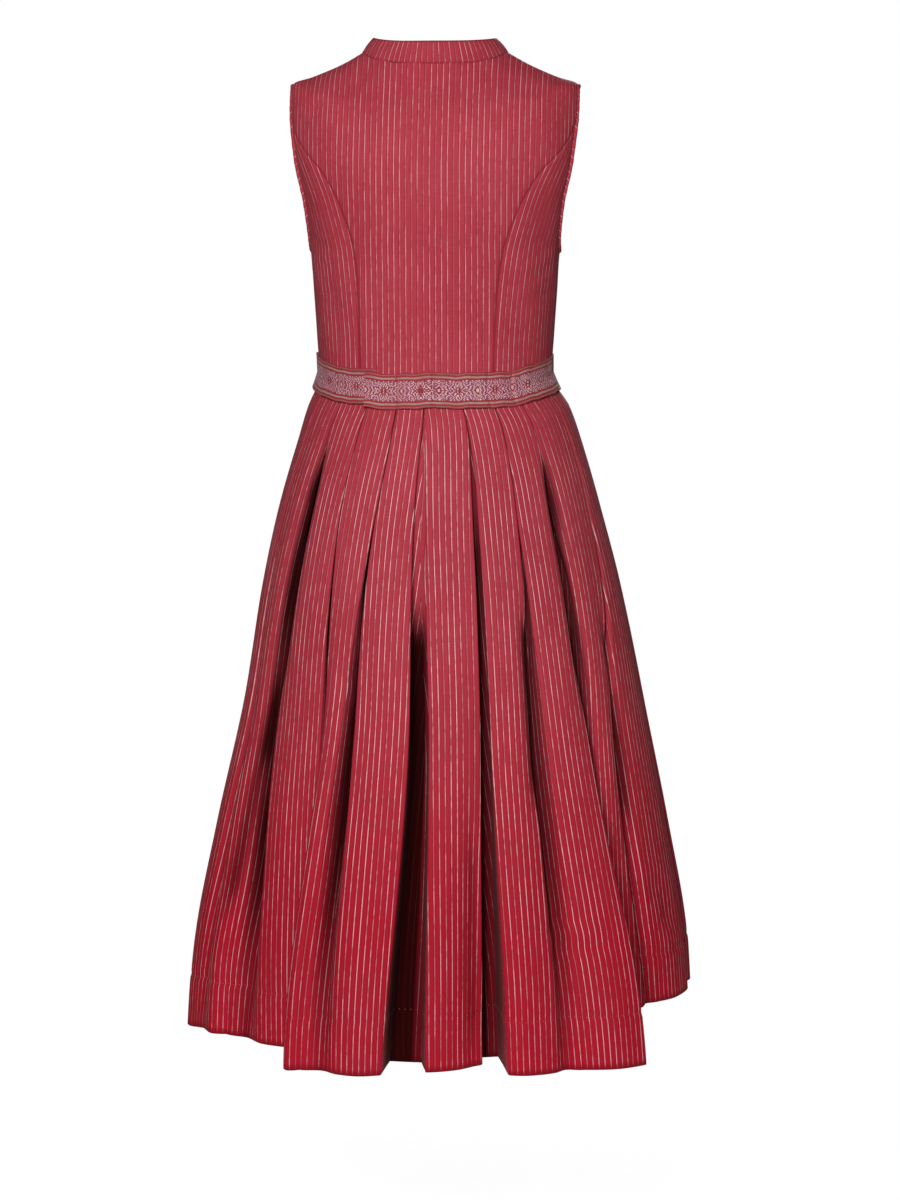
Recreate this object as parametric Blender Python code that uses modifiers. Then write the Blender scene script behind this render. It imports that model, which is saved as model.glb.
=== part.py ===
"""Sleeveless dress with a stand collar, a princess-seamed bodice and a box-pleated skirt.

Metres, +Z up. The wearer faces +Y, so the dress's back is on the -Y side, and +X is the
wearer's right. The origin is between the two shoulder tips, which carry the dress.
"""

import math
from collections import namedtuple

import bmesh
import bpy
import numpy as np
from mathutils import Vector

# Cloth and seams
WALL = 0.0015
TRIM_WALL = 0.0012
SEAM_GAP = 0.0004
LIE_GAP = 0.0004

# Bodice: a level for each row, from the waist seam up to the neck seam.
# The side, back and front columns are the row's height there, then come its half width,
# its depth behind and before the middle, and how square its outline is (2 is an ellipse).
Level = namedtuple("Level", "name side back front half_width depth_back depth_front square")
BODICE = (
    Level("waist", -0.3130, -0.3270, -0.3270, 0.1270, 0.0960, 0.0960, 2.15),
    Level("midriff", -0.2640, -0.2720, -0.2740, 0.1300, 0.0945, 0.1020, 2.20),
    Level("ribs", -0.2180, -0.2200, -0.2300, 0.1335, 0.0965, 0.1170, 2.30),
    Level("underarm", -0.1800, -0.1800, -0.1900, 0.1358, 0.0990, 0.1230, 2.35),
    Level("chest", -0.1300, -0.1300, -0.1450, 0.1436, 0.1010, 0.1150, 2.40),
    Level("blades", -0.0800, -0.0850, -0.1100, 0.1552, 0.0980, 0.1010, 2.40),
    Level("yoke", -0.0350, -0.0480, -0.0860, 0.1592, 0.0900, 0.0900, 2.25),
    Level("tip", 0.0000, -0.0220, -0.0700, 0.1552, 0.0800, 0.0820, 2.00),
    Level("slope", 0.0077, -0.0100, -0.0620, 0.1340, 0.0740, 0.0780, 1.95),
    Level("shoulder", 0.0210, 0.0060, -0.0520, 0.1030, 0.0670, 0.0720, 1.95),
    Level("neck", 0.0350, 0.0233, -0.0400, 0.0787, 0.0600, 0.0660, 2.00),
)
SHOULDER_DROP = 4
FRONT_DROP = 2
NECK = 10.0

# Armholes: an oval in the bodice's own rows and degrees, centred on each side seam
ARM_MIDDLE = 5.0
ARM_REACH = 2.055
ARM_BACK = 18.0
ARM_FRONT = 27.0
ARM_STEPS = 14
PIPING_RADIUS = 0.0022

# Princess seams: where each runs, in degrees from the centre back, by row
TURN = -2.5
Seam = namedtuple("Seam", "level back front")
PRINCESS = (
    Seam(0.0, 33.0, 148.0),
    Seam(1.0, 32.0, 145.0),
    Seam(2.0, 31.0, 141.0),
    Seam(3.0, 32.2, 138.0),
    Seam(4.0, 38.2, 131.0),
    Seam(4.8, 47.0, 122.5),
    Seam(5.4, 63.0, 118.0),
    Seam(5.7, 71.0, 118.0),
)
PRINCESS_TOP_STEP = 9

# Stand collar
COLLAR_TOP = Level("collar", 0.0500, 0.0466, -0.0200, 0.0665, 0.0565, 0.0580, 2.00)
COLLAR_OPENING = 3.2

# Front closing
PLACKET_WIDTH = 0.024
PLACKET_FOOT = 0.45
PLACKET_SHORT = 0.1
BUTTONS = 8
BUTTONS_FROM, BUTTONS_TO = -0.292, -0.057
BUTTON_RADIUS = 0.0055
BUTTON_THICK = 0.0028
BUTTON_TAPER = 0.8

# Waist ribbon
RIBBON_UP, RIBBON_DOWN = 0.0200, 0.0175
RIBBON_STEPS = 64
RIBBON_OUT = (0.0019, 0.0030, 0.0042)

# Skirt: its outline and how far its middle lies to the right, by the drop below the waist
Outline = namedtuple("Outline", "drop half_width depth shift")
SKIRT = (
    Outline(0.000, 0.1270, 0.0960, 0.0000),
    Outline(0.018, 0.1330, 0.1005, 0.0015),
    Outline(0.036, 0.1430, 0.1090, 0.0035),
    Outline(0.075, 0.1560, 0.1215, 0.0045),
    Outline(0.140, 0.1750, 0.1410, 0.0043),
    Outline(0.230, 0.1965, 0.1620, 0.0060),
    Outline(0.365, 0.2212, 0.1900, 0.0092),
    Outline(0.500, 0.2497, 0.2180, 0.0078),
    Outline(0.635, 0.2740, 0.2420, 0.0065),
    Outline(0.690, 0.2785, 0.2480, 0.0060),
    Outline(0.735, 0.2810, 0.2500, 0.0060),
)
SQUARE_TO = 0.12

# Hem: its height, how far it lifts at the wearer's right side, and the degrees where the
# lift starts and ends and how many degrees each change takes
HEM = -1.0415
HEM_RISE = 0.0375
RISE_FROM, RISE_OVER = 50, 11
FALL_FROM, FALL_OVER = 95, 50

# The rows of the skirt, as shares of the way from the waist to the hem
RING_SHARES = (0.0, 0.026, 0.07, 0.15, 0.27, 0.42, 0.58, 0.74, 0.89, 1.0)

# Pleats. Angles are in degrees round from the centre back, at the waist, hip, knee and hem,
# of the edge on the fold's left; gaps are in degrees at hip, knee and hem; the rest is in
# millimetres: the fold's depth at hip, knee and hem, how far it reaches under the pleat on
# its left and right at the hem, and how far each of those two edges stands out there.
# Soft is 1 where the fold has opened into a shallow valley by the hem.
Fold = namedtuple(
    "Fold",
    "name waist hip knee hem gap_hip gap_knee gap_hem deep_hip deep_knee deep_hem "
    "under_left under_right out_left out_right soft",
)
BACK_FOLDS = (
    Fold("left_side", -86, -88, -90, -92, 1.0, 5, 8, 8, 18, 14, 0, 2, 0, 0, 0.5),
    Fold("back_a", -65, -71, -73, -73, 1.0, 5, 8, 9, 18, 5, -8, -8, 0, -2, 1.0),
    Fold("back_b", -46, -54.9, -60, -60, 1.8, 8, 13, 14, 34, 7, -12, -12, -16, -24, 1.0),
    Fold("back_c", -30, -35.8, -34.4, -32.8, 0.8, 2.2, 1.5, 11, 30, 8, 0, 16, -48, 18, 0.0),
    Fold("back_d", -14.5, -20.4, -27.6, -28, 0.6, 5.5, 9, 10, 26, 8, -12, -12, 12, 12, 1.0),
    Fold("back_e", -2.5, -6.4, -7, -10, 4.4, 6.2, 9.6, 9, 52, 40, 4, -8, 2, -16, 0.0),
    Fold("back_f", 13, 14.6, 13.1, 13.6, 2.4, 3.3, 4.4, 9, 40, 30, 2, 8, -44, 2, 0.0),
    Fold("back_g", 28, 31.4, 27.9, 28, 0.6, 5.4, 7, 10, 26, 7, -10, -10, 8, 10, 1.0),
    Fold("back_h", 43.6, 49, 46.4, 48.4, 0.8, 6.2, 1.6, 12, 36, 10, 12, 0, 32, -62, 0.0),
    Fold("back_i", 67.5, 71, 59.3, 66, 0.8, 5.0, 8, 10, 22, 7, -8, -8, -30, -24, 1.0),
)
FRONT_FOLDS = (
    Fold("right_side", 87, 88, 88, 90, 1.0, 5, 8, 8, 18, 12, 0, 2, -2, 0, 0.4),
    Fold("front_a", 105, 104, 105, 106, 1.0, 5, 7, 9, 22, 12, -8, -8, 2, 2, 1.0),
    Fold("front_b", 122, 121, 121, 121, 1.0, 5, 7, 8, 30, 38, 4, 4, 4, -4, 0.0),
    Fold("front_c", 138, 138, 139, 141, 1.0, 4, 8, 9, 22, 12, -8, -8, 2, 2, 1.0),
    Fold("front_d", 155, 155, 156, 157, 1.0, 5, 8, 8, 32, 40, 4, 2, 2, -6, 0.0),
    Fold("front_e", 178.8, 178.5, 178, 177, 1.0, 4, 6, 8, 22, 26, 2, 2, 2, 2, 0.2),
    Fold("front_f", 204, 204, 202, 200, 1.0, 5, 9, 8, 30, 40, 2, 4, -5, 3, 0.0),
    Fold("front_g", 220, 220, 219, 216, 1.0, 4, 8, 9, 22, 12, -8, -8, 2, 2, 1.0),
    Fold("front_h", 236, 236, 235, 233, 1.0, 5, 8, 8, 30, 36, 4, 4, -3, 4, 0.0),
    Fold("front_i", 254, 254, 252, 250, 1.0, 5, 7, 9, 20, 12, -8, -8, 2, 0, 1.0),
)
FOLD_LEVELS = (0.0, 0.16, 0.58, 1.0)
WAIST_DEEP = 0.0075
EDGE_GAP = 0.0022
LEAST_FLOOR = 0.003
WAIST_UNDER = 0.38
EDGE_ROUND = 0.0034
LEAST_ROUND = 0.45
PANEL_CROWN = 0.005

# Shares of the way down: a pleat has opened by the first, its edges stand out from the
# second on, growing with a power, and a soft fold turns to a valley from the third on
OPENED_BY = 0.62
FLARE_FROM = 0.35
FLARE_POWER = 1.3
SOFT_FROM, SOFT_OVER = 0.45, 0.45

Finish = namedtuple("Finish", "colour roughness metallic")
CLOTH = Finish((0.42, 0.032, 0.055, 1), 0.55, 0.0)
TRIM = Finish((0.36, 0.03, 0.05, 1), 0.5, 0.0)
RIBBON = Finish((0.40, 0.14, 0.18, 1), 0.6, 0.0)
BUTTON = Finish((0.30, 0.03, 0.05, 1), 0.35, 0.0)


def smooth(at, stops, values):
    """The values between the stops on a smooth line that never overshoots them."""
    stops = np.asarray(stops, float)
    values = np.asarray(values, float)
    at = min(max(at, stops[0]), stops[-1])
    step = np.diff(stops)
    rise = np.diff(values) / step
    slope = np.zeros(len(values))
    for i in range(1, len(values) - 1):
        if rise[i - 1] * rise[i] > 0:
            slope[i] = 2 * rise[i - 1] * rise[i] / (rise[i - 1] + rise[i])
    slope[0], slope[-1] = rise[0], rise[-1]
    i = min(int(np.searchsorted(stops, at, side="right")) - 1, len(step) - 1)
    u = (at - stops[i]) / step[i]
    return float(
        values[i] * (1 + 2 * u) * (1 - u) ** 2
        + slope[i] * step[i] * u * (1 - u) ** 2
        + values[i + 1] * u * u * (3 - 2 * u)
        + slope[i + 1] * step[i] * u * u * (u - 1)
    )


def ease(share):
    """A share from 0 to 1 with a soft start and end."""
    share = min(max(share, 0.0), 1.0)
    return share * share * (3 - 2 * share)


def power(value, exponent):
    """A power that keeps its number's sign."""
    return math.copysign(abs(value) ** exponent, value)


def level_at(row):
    """The bodice's sizes at a row, which may lie between two levels."""
    stops = range(len(BODICE))
    columns = Level._fields[1:]
    return Level("", *(smooth(row, stops, [getattr(at, c) for at in BODICE]) for c in columns))


def outline_point(level, angle):
    """The point of a level's outline, an angle in degrees round from the centre back."""
    turn = math.radians(angle)
    across, along = math.sin(turn), math.cos(turn)
    bend = 2 / level.square
    depth = level.depth_back if along > 0 else level.depth_front
    middle = level.back if along > 0 else level.front
    drop = SHOULDER_DROP if along > 0 else FRONT_DROP
    height = middle + (level.side - middle) * abs(across) ** drop
    return Vector((level.half_width * power(across, bend), -depth * power(along, bend), height))


def body_point(angle, row, out=0.0):
    """A point of the bodice's surface, moved out of it by a distance."""
    point = outline_point(level_at(row), angle)
    return point + body_normal(angle, row) * out if out else point


def body_normal(angle, row):
    """The bodice surface's outward direction."""
    turn, rise = 0.5, 0.02
    low, high = max(row - rise, 0.0), min(row + rise, NECK)
    around = outline_point(level_at(row), angle + turn) - outline_point(level_at(row), angle - turn)
    up = outline_point(level_at(high), angle) - outline_point(level_at(low), angle)
    return around.cross(up).normalized()


def angle_for(distance, angle, row):
    """The degrees that a distance takes along the outline."""
    step = (body_point(angle + 0.5, row) - body_point(angle - 0.5, row)).length
    return distance / step


def arm_angle(row, front):
    """Degrees from the centre back of the armhole's edge at a row, behind or in front."""
    share = (row - ARM_MIDDLE) / ARM_REACH
    reach = ARM_FRONT if front else -ARM_BACK
    return 90 + reach * math.sqrt(max(0.0, 1 - share * share))


def arm_rows():
    """The rows at which the armhole's edge has its points, from the underarm to the tip."""
    turns = [math.pi * step / ARM_STEPS for step in range(ARM_STEPS + 1)]
    return [ARM_MIDDLE - ARM_REACH * math.cos(turn) for turn in turns]


def bodice_rows():
    """All the rows of the bodice's panels."""
    arms = arm_rows()
    return [0.0, 0.5, 1.0, 1.6, 2.3] + arms + [8.0, 9.0, NECK]


def seam_angle(row, front):
    """Degrees from the centre back of the princess seam at a row."""
    column = "front" if front else "back"
    return smooth(row, [s.level for s in PRINCESS], [getattr(s, column) for s in PRINCESS])


def seam_top():
    """The row where the princess seams run into the armholes."""
    return arm_rows()[PRINCESS_TOP_STEP]


def centre_edge(row, side, front):
    """The outer edge of a centre panel, in degrees from the centre back."""
    arms = arm_rows()
    if row > arms[-1] - 1e-6:
        angle = 90.0
        gap = -SEAM_GAP / 2
    elif row > seam_top() + 1e-6:
        return side * arm_angle(row, front)
    else:
        angle = seam_angle(row, front)
        gap = -SEAM_GAP / 2
    gap = -gap if front else gap
    turned = 0.0 if angle == 90.0 or front else TURN * (1 - ease(row / seam_top()))
    angle = side * angle + turned
    return angle + side * angle_for(gap, angle, row)


def side_edges(row, side, front):
    """The two edges of a side panel, at the princess seam and at the side seam or armhole."""
    sign = -1 if front else 1
    inner = seam_angle(row, front)
    turned = 0.0 if front else TURN * (1 - ease(row / seam_top()))
    inner = side * inner + turned
    inner += side * sign * angle_for(SEAM_GAP / 2, inner, row)
    if row > arm_rows()[0] + 1e-6:
        return inner, side * arm_angle(row, front)
    return inner, side * (90.0 - sign * angle_for(SEAM_GAP / 2, 90.0, row))


def finished(shape, finish, collection):
    """An object of a mesh or a curve, with its own material, in the dress's collection."""
    material = bpy.data.materials.new(shape.name)
    material.use_nodes = True
    shader = material.node_tree.nodes["Principled BSDF"]
    shader.inputs["Base Color"].default_value = finish.colour
    shader.inputs["Roughness"].default_value = finish.roughness
    shader.inputs["Metallic"].default_value = finish.metallic
    material.diffuse_color = finish.colour
    shape.materials.append(material)
    obj = bpy.data.objects.new(shape.name, shape)
    collection.objects.link(obj)
    return obj


def grid_mesh(name, rows, closed=False):
    """An open surface through rows of points, with its faces turned outwards."""
    work = bmesh.new()
    lines = [[work.verts.new(point) for point in row] for row in rows]
    count = len(lines[0])
    for low, high in zip(lines, lines[1:]):
        for i in range(count if closed else count - 1):
            j = (i + 1) % count
            work.faces.new((low[i], low[j], high[j], high[i]))
    mesh = bpy.data.meshes.new(name)
    work.to_mesh(mesh)
    work.free()
    mesh.shade_smooth()
    mesh.set_sharp_from_angle(angle=math.radians(50))
    return mesh


def cloth(name, rows, finish, collection, wall=WALL, closed=False):
    """A piece of cloth: its middle surface, thickened to the wall."""
    piece = finished(grid_mesh(name, rows, closed), finish, collection)
    wall_maker = piece.modifiers.new("wall", "SOLIDIFY")
    wall_maker.thickness = wall
    wall_maker.offset = 0
    return piece


def across(first, last, count):
    """Evenly spaced numbers from the first to the last."""
    return [first + (last - first) * i / count for i in range(count + 1)]


def back_centre(collection):
    """The centre back panel, with no seam down its middle."""
    rows = []
    for row in bodice_rows():
        ends = centre_edge(row, -1, False), centre_edge(row, 1, False)
        rows.append([body_point(angle, row) for angle in across(*ends, 12)])
    return cloth("back_centre", rows, CLOTH, collection)


def front_centre(side, collection):
    """One front panel, from the centre closing to the princess seam."""
    rows = []
    for row in bodice_rows():
        middle = side * (180 - angle_for(SEAM_GAP / 2, 180, row))
        edge = centre_edge(row, side, True)
        ends = (edge, middle) if side > 0 else (middle, edge)
        rows.append([body_point(angle, row) for angle in across(*ends, 8)])
    return cloth("front_centre_" + side_name(side), rows, CLOTH, collection)


def side_panel(side, front, collection):
    """A side panel, from a princess seam round to the side seam, narrowing up the armhole."""
    rows = []
    for row in bodice_rows():
        if row > seam_top() - 1e-6:
            break
        ends = sorted(side_edges(row, side, front))
        rows.append([body_point(angle, row) for angle in across(*ends, 6)])
    where = "front_side_" if front else "back_side_"
    return cloth(where + side_name(side), rows, CLOTH, collection)


def side_name(side):
    """The wearer's right is +X."""
    return "right" if side > 0 else "left"


def armhole_edge(side):
    """The armhole's edge points in order, up the back and down the front."""
    rows = arm_rows()
    loop = [(side * arm_angle(row, False), row) for row in rows]
    loop += [(side * arm_angle(row, True), row) for row in rows[-2:0:-1]]
    return loop


def piping(side, collection):
    """The round piping that finishes an armhole, just inside the panels' edges."""
    loop = armhole_edge(side)
    points = [body_point(*at) for at in loop]
    count = len(points)
    middle = sum(points, Vector()) / count
    line = bpy.data.curves.new("armhole_piping_" + side_name(side), "CURVE")
    line.dimensions = "3D"
    line.bevel_depth = PIPING_RADIUS
    line.bevel_resolution = 1
    spline = line.splines.new("POLY")
    spline.points.add(count - 1)
    spline.use_cyclic_u = True
    for i, (angle, row) in enumerate(loop):
        along = (points[(i + 1) % count] - points[i - 1]).normalized()
        inwards = along.cross(body_normal(angle, row)).normalized()
        if inwards.dot(middle - points[i]) < 0:
            inwards.negate()
        centre = points[i] + inwards * (PIPING_RADIUS + LIE_GAP)
        spline.points[i].co = (*centre, 1)
    return finished(line, TRIM, collection)


def collar(collection):
    """The stand collar, on the neck seam, with its two ends at the centre front."""
    foot = level_at(NECK)
    rows = []
    for share in (0.0, 0.5, 1.0):
        row = []
        for angle in across(COLLAR_OPENING - 180, 180 - COLLAR_OPENING, 40):
            low, high = outline_point(foot, angle), outline_point(COLLAR_TOP, angle)
            up = (high - low).normalized()
            row.append(low + up * (WALL / 2 + SEAM_GAP) + (high - low) * share)
        rows.append(row)
    return cloth("collar", rows, CLOTH, collection)


def placket_rows():
    """The bodice rows that the placket crosses, from above the ribbon to below the neck."""
    return [row for row in bodice_rows()[:-1] if row > PLACKET_FOOT] + [NECK - PLACKET_SHORT]


def placket(collection):
    """The narrow strip that covers the centre front closing."""
    rows = []
    for row in placket_rows():
        half = angle_for(PLACKET_WIDTH / 2, 180, row)
        out = WALL + LIE_GAP
        rows.append([body_point(angle, row, out) for angle in across(180 - half, 180 + half, 2)])
    return cloth("front_placket", rows, CLOTH, collection)


def over_placket(height, out):
    """The point at a height over the placket's middle line, and its outward direction."""
    rows = placket_rows()
    for low, high in zip(rows, rows[1:]):
        foot, head = body_point(180, low, out), body_point(180, high, out)
        if head.z > height:
            break
    share = (height - foot.z) / (head.z - foot.z)
    return foot.lerp(head, share), (head - foot).cross(Vector((1, 0, 0)))


def buttons(collection):
    """The buttons down the placket, each a low disc with a tapered rim."""
    lift = WALL + LIE_GAP + WALL / 2 + LIE_GAP + BUTTON_THICK / 2
    for number, height in enumerate(across(BUTTONS_FROM, BUTTONS_TO, BUTTONS - 1), 1):
        work = bmesh.new()
        bmesh.ops.create_cone(
            work,
            cap_ends=True,
            segments=12,
            radius1=BUTTON_RADIUS,
            radius2=BUTTON_RADIUS * BUTTON_TAPER,
            depth=BUTTON_THICK,
        )
        mesh = bpy.data.meshes.new(f"button_{number}")
        work.to_mesh(mesh)
        work.free()
        mesh.shade_smooth()
        mesh.set_sharp_from_angle(angle=math.radians(40))
        button = finished(mesh, BUTTON, collection)
        button.location, outwards = over_placket(height, lift)
        button.rotation_euler = outwards.to_track_quat("Z", "Y").to_euler()


def waist_height(angle):
    """The waist seam's height, lowest at the centre back and front."""
    return outline_point(BODICE[0], angle).z


def ribbon(collection):
    """The woven ribbon round the waist, over the waist seam."""
    rows = []
    for height, out in zip((RIBBON_UP, 0.0, -RIBBON_DOWN), RIBBON_OUT):
        row = []
        for angle in across(0, 360, RIBBON_STEPS)[:-1]:
            if height < 0:
                point, normal = skirt_surface(angle, -height)
            else:
                up = height / (outline_point(BODICE[1], angle).z - waist_height(angle))
                point, normal = body_point(angle, up), body_normal(angle, up)
            row.append(point + normal * out)
        rows.append(row)
    return cloth("waist_ribbon", rows[::-1], RIBBON, collection, TRIM_WALL, closed=True)


def skirt_outline(drop):
    """The skirt's half width, depth and sideways shift at a drop below the waist."""
    stops = [at.drop for at in SKIRT]
    columns = Outline._fields[1:]
    return [smooth(drop, stops, [getattr(at, column) for at in SKIRT]) for column in columns]


def hem_height(angle):
    """The hem's height, which lifts at the wearer's right side."""
    angle = angle % 360
    risen, fallen = (angle - RISE_FROM) / RISE_OVER, (angle - FALL_FROM) / FALL_OVER
    return HEM + HEM_RISE * (ease(risen) - ease(fallen))


def skirt_surface(angle, drop):
    """A point of the skirt's plain outline and its outward direction, with no pleats."""
    half, deep, shift = skirt_outline(drop)
    turn = math.radians(angle)
    square = 2 + (BODICE[0].square - 2) * (1 - ease(drop / SQUARE_TO))
    x = half * power(math.sin(turn), 2 / square)
    y = -deep * power(math.cos(turn), 2 / square)
    point = Vector((x + shift, y, waist_height(angle) - drop))
    normal = Vector((math.sin(turn) / half, -math.cos(turn) / deep, 0)).normalized()
    return point, normal


def skirt_point(angle, out, share):
    """A point at a share of the way from the waist to the hem, moved out from the outline."""
    drop = share * (waist_height(angle) - hem_height(angle))
    point, normal = skirt_surface(angle, drop)
    return point + normal * out


def skirt_degrees(distance, angle, share):
    """The degrees that a distance takes round the skirt."""
    low, high = skirt_point(angle - 0.5, 0, share), skirt_point(angle + 0.5, 0, share)
    return distance / (high - low).length


FoldHere = namedtuple("FoldHere", "left right deep under_left under_right out_left out_right soft")


def fold_at(fold, share, room_left, room_right):
    """The fold's edges and depth at a share of the way down. The room is each pleat's width."""
    left = smooth(share, FOLD_LEVELS, (fold.waist, fold.hip, fold.knee, fold.hem))
    gap = smooth(share, FOLD_LEVELS, (0, fold.gap_hip, fold.gap_knee, fold.gap_hem))
    gap = max(gap, skirt_degrees(EDGE_GAP, left, share))
    deep = smooth(
        share,
        FOLD_LEVELS,
        (WAIST_DEEP, fold.deep_hip / 1000, fold.deep_knee / 1000, fold.deep_hem / 1000),
    )
    opened = ease(share / OPENED_BY)
    flare = ease((share - FLARE_FROM) / (1 - FLARE_FROM)) ** FLARE_POWER
    least = LEAST_FLOOR / 2 - gap / skirt_degrees(1.0, left, share) / 2
    return FoldHere(
        left,
        left + gap,
        deep,
        max(least, WAIST_UNDER * room_left * (1 - opened) + fold.under_left / 1000 * opened),
        max(least, WAIST_UNDER * room_right * (1 - opened) + fold.under_right / 1000 * opened),
        fold.out_left / 1000 * flare,
        fold.out_right / 1000 * flare,
        fold.soft * ease((share - SOFT_FROM) / SOFT_OVER),
    )


def fold_side(here, share, right):
    """A fold's points on one side, from its middle out to the pleat's edge."""
    edge = here.right if right else here.left
    out = here.out_right if right else here.out_left
    reach = here.under_right if right else -here.under_left
    middle = (here.left + here.right) / 2
    floor = min(here.out_left, here.out_right) - here.deep
    bend = min(EDGE_ROUND, here.deep * LEAST_ROUND)
    inner = edge + skirt_degrees(reach, edge, share)
    sharp = ((middle, floor), (inner, floor), (inner, floor + bend), (edge, out - bend), (edge, out))
    points = []
    for (angle, depth), step in zip(sharp, (0.0, 0.3, 0.55, 0.8, 1.0)):
        soft_angle = middle + (edge - middle) * step
        soft_depth = floor + (out - floor) * (1 - math.cos(math.pi * step)) / 2
        mix = here.soft
        points.append((angle + (soft_angle - angle) * mix, depth + (soft_depth - depth) * mix))
    return points


def pleat_width(left, right, share):
    """The distance between a fold and the next, in metres."""
    edges = [smooth(share, FOLD_LEVELS, (f.waist, f.hip, f.knee, f.hem)) for f in (left, right)]
    middle = (edges[0] + edges[1]) / 2
    return (edges[1] - edges[0]) / skirt_degrees(1.0, middle, share)


def pleat_section(before, left, right, after, share):
    """The points from one fold's middle, over the pleat, to the next fold's middle."""
    width = pleat_width(left, right, share)
    here = fold_at(left, share, pleat_width(before, left, share), width)
    there = fold_at(right, share, width, pleat_width(right, after, share))
    start = fold_side(here, share, True)
    end = fold_side(there, share, False)[::-1]
    points = list(start)
    crown = PANEL_CROWN * ease(share)
    for step in (1 / 3, 2 / 3):
        angle = start[-1][0] + (end[0][0] - start[-1][0]) * step
        out = start[-1][1] + (end[0][1] - start[-1][1]) * step
        points.append((angle, out + crown * 4 * step * (1 - step)))
    return points + end


def skirt_ring(folds, share, gap):
    """One ring of a skirt panel, from the middle of its first fold to that of its last."""
    points = []
    inside = folds[1:-1]
    for i in range(len(inside) - 1):
        section = pleat_section(folds[i], inside[i], inside[i + 1], folds[i + 3], share)
        points += section if i == 0 else section[1:]
    first, last = points[0], points[-1]
    points[0] = (first[0] + skirt_degrees(gap / 2, first[0], share), first[1])
    points[-1] = (last[0] - skirt_degrees(gap / 2, last[0], share), last[1])
    return points


def turned(fold, turns):
    """The same fold, counted a number of turns further round."""
    more = 360 * turns
    return fold._replace(
        waist=fold.waist + more, hip=fold.hip + more, knee=fold.knee + more, hem=fold.hem + more
    )


def skirt_panels(collection):
    """The skirt's back and its two fronts, sewn together inside folds."""
    ring = list(BACK_FOLDS) + list(FRONT_FOLDS)
    around = [turned(ring[-1], -1)] + ring + [turned(ring[0], 1), turned(ring[1], 1)]
    right_side = len(BACK_FOLDS)
    closing = right_side + [f.name for f in FRONT_FOLDS].index("front_e")
    spans = {
        "skirt_back": (0, right_side),
        "skirt_front_right": (right_side, closing),
        "skirt_front_left": (closing, len(ring)),
    }
    for name, (first, last) in spans.items():
        folds = around[first : last + 3]
        rows = []
        for share in RING_SHARES[::-1]:
            ring_points = skirt_ring(folds, share, SEAM_GAP)
            lower = (WALL / 2 + SEAM_GAP) * (1 - share)
            points = [skirt_point(angle, out, share) for angle, out in ring_points]
            rows.append([point - Vector((0, 0, lower)) for point in points])
        cloth(name, rows, CLOTH, collection)


def clear_scene():
    """Removes whatever the scene holds."""
    for obj in list(bpy.data.objects):
        bpy.data.objects.remove(obj)


def main():
    """Builds the dress."""
    clear_scene()
    collection = bpy.data.collections.new("sleeveless_dress")
    bpy.context.scene.collection.children.link(collection)
    back_centre(collection)
    for side in (-1, 1):
        side_panel(side, False, collection)
        side_panel(side, True, collection)
        front_centre(side, collection)
        piping(side, collection)
    collar(collection)
    placket(collection)
    buttons(collection)
    ribbon(collection)
    skirt_panels(collection)


main()
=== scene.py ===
"""Looks of the sleeveless dress: its cloth shells, seams, piping, woven ribbon and finishes.

Metres, +Z up. The wearer faces +Y, so the dress's back looks towards -Y, and +X is the
wearer's right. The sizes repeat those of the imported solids, and each piece is a thin shell
on its solid's form. Angles round the dress are in degrees from its centre back.
"""

import logging
import math
from dataclasses import dataclass, field
from enum import Enum
from typing import NamedTuple, Sequence

import bpy
import numpy as np
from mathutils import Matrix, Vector


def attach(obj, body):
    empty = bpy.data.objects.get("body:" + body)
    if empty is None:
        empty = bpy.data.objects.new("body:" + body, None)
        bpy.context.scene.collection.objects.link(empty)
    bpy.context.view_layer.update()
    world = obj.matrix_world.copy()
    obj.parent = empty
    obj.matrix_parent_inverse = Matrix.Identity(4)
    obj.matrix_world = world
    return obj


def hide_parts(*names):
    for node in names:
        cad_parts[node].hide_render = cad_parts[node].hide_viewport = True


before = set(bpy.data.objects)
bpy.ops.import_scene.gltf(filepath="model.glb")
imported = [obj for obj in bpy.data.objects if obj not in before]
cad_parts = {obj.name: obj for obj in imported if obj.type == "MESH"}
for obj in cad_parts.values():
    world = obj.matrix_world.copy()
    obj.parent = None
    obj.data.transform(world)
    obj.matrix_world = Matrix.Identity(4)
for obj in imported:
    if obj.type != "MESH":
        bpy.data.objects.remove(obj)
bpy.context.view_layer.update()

LOG = logging.getLogger("dress")
BODY = "root"
LEFT, RIGHT = -1, 1
NEAR = 1e-6


class Level(NamedTuple):
    """One row of the bodice: heights at the side, back and front, then its outline."""

    side: float
    back: float
    front: float
    half_width: float
    depth_back: float
    depth_front: float
    square: float


WAIST_LEVEL = Level(-0.3130, -0.3270, -0.3270, 0.1270, 0.0960, 0.0960, 2.15)
BODICE_LEVELS = (
    WAIST_LEVEL,
    Level(-0.2640, -0.2720, -0.2740, 0.1300, 0.0945, 0.1020, 2.20),
    Level(-0.2180, -0.2200, -0.2300, 0.1335, 0.0965, 0.1170, 2.30),
    Level(-0.1800, -0.1800, -0.1900, 0.1358, 0.0990, 0.1230, 2.35),
    Level(-0.1300, -0.1300, -0.1450, 0.1436, 0.1010, 0.1150, 2.40),
    Level(-0.0800, -0.0850, -0.1100, 0.1552, 0.0980, 0.1010, 2.40),
    Level(-0.0350, -0.0480, -0.0860, 0.1592, 0.0900, 0.0900, 2.25),
    Level(0.0000, -0.0220, -0.0700, 0.1552, 0.0800, 0.0820, 2.00),
    Level(0.0077, -0.0100, -0.0620, 0.1340, 0.0740, 0.0780, 1.95),
    Level(0.0210, 0.0060, -0.0520, 0.1030, 0.0670, 0.0720, 1.95),
    Level(0.0350, 0.0233, -0.0400, 0.0787, 0.0600, 0.0660, 2.00),
)
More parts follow.
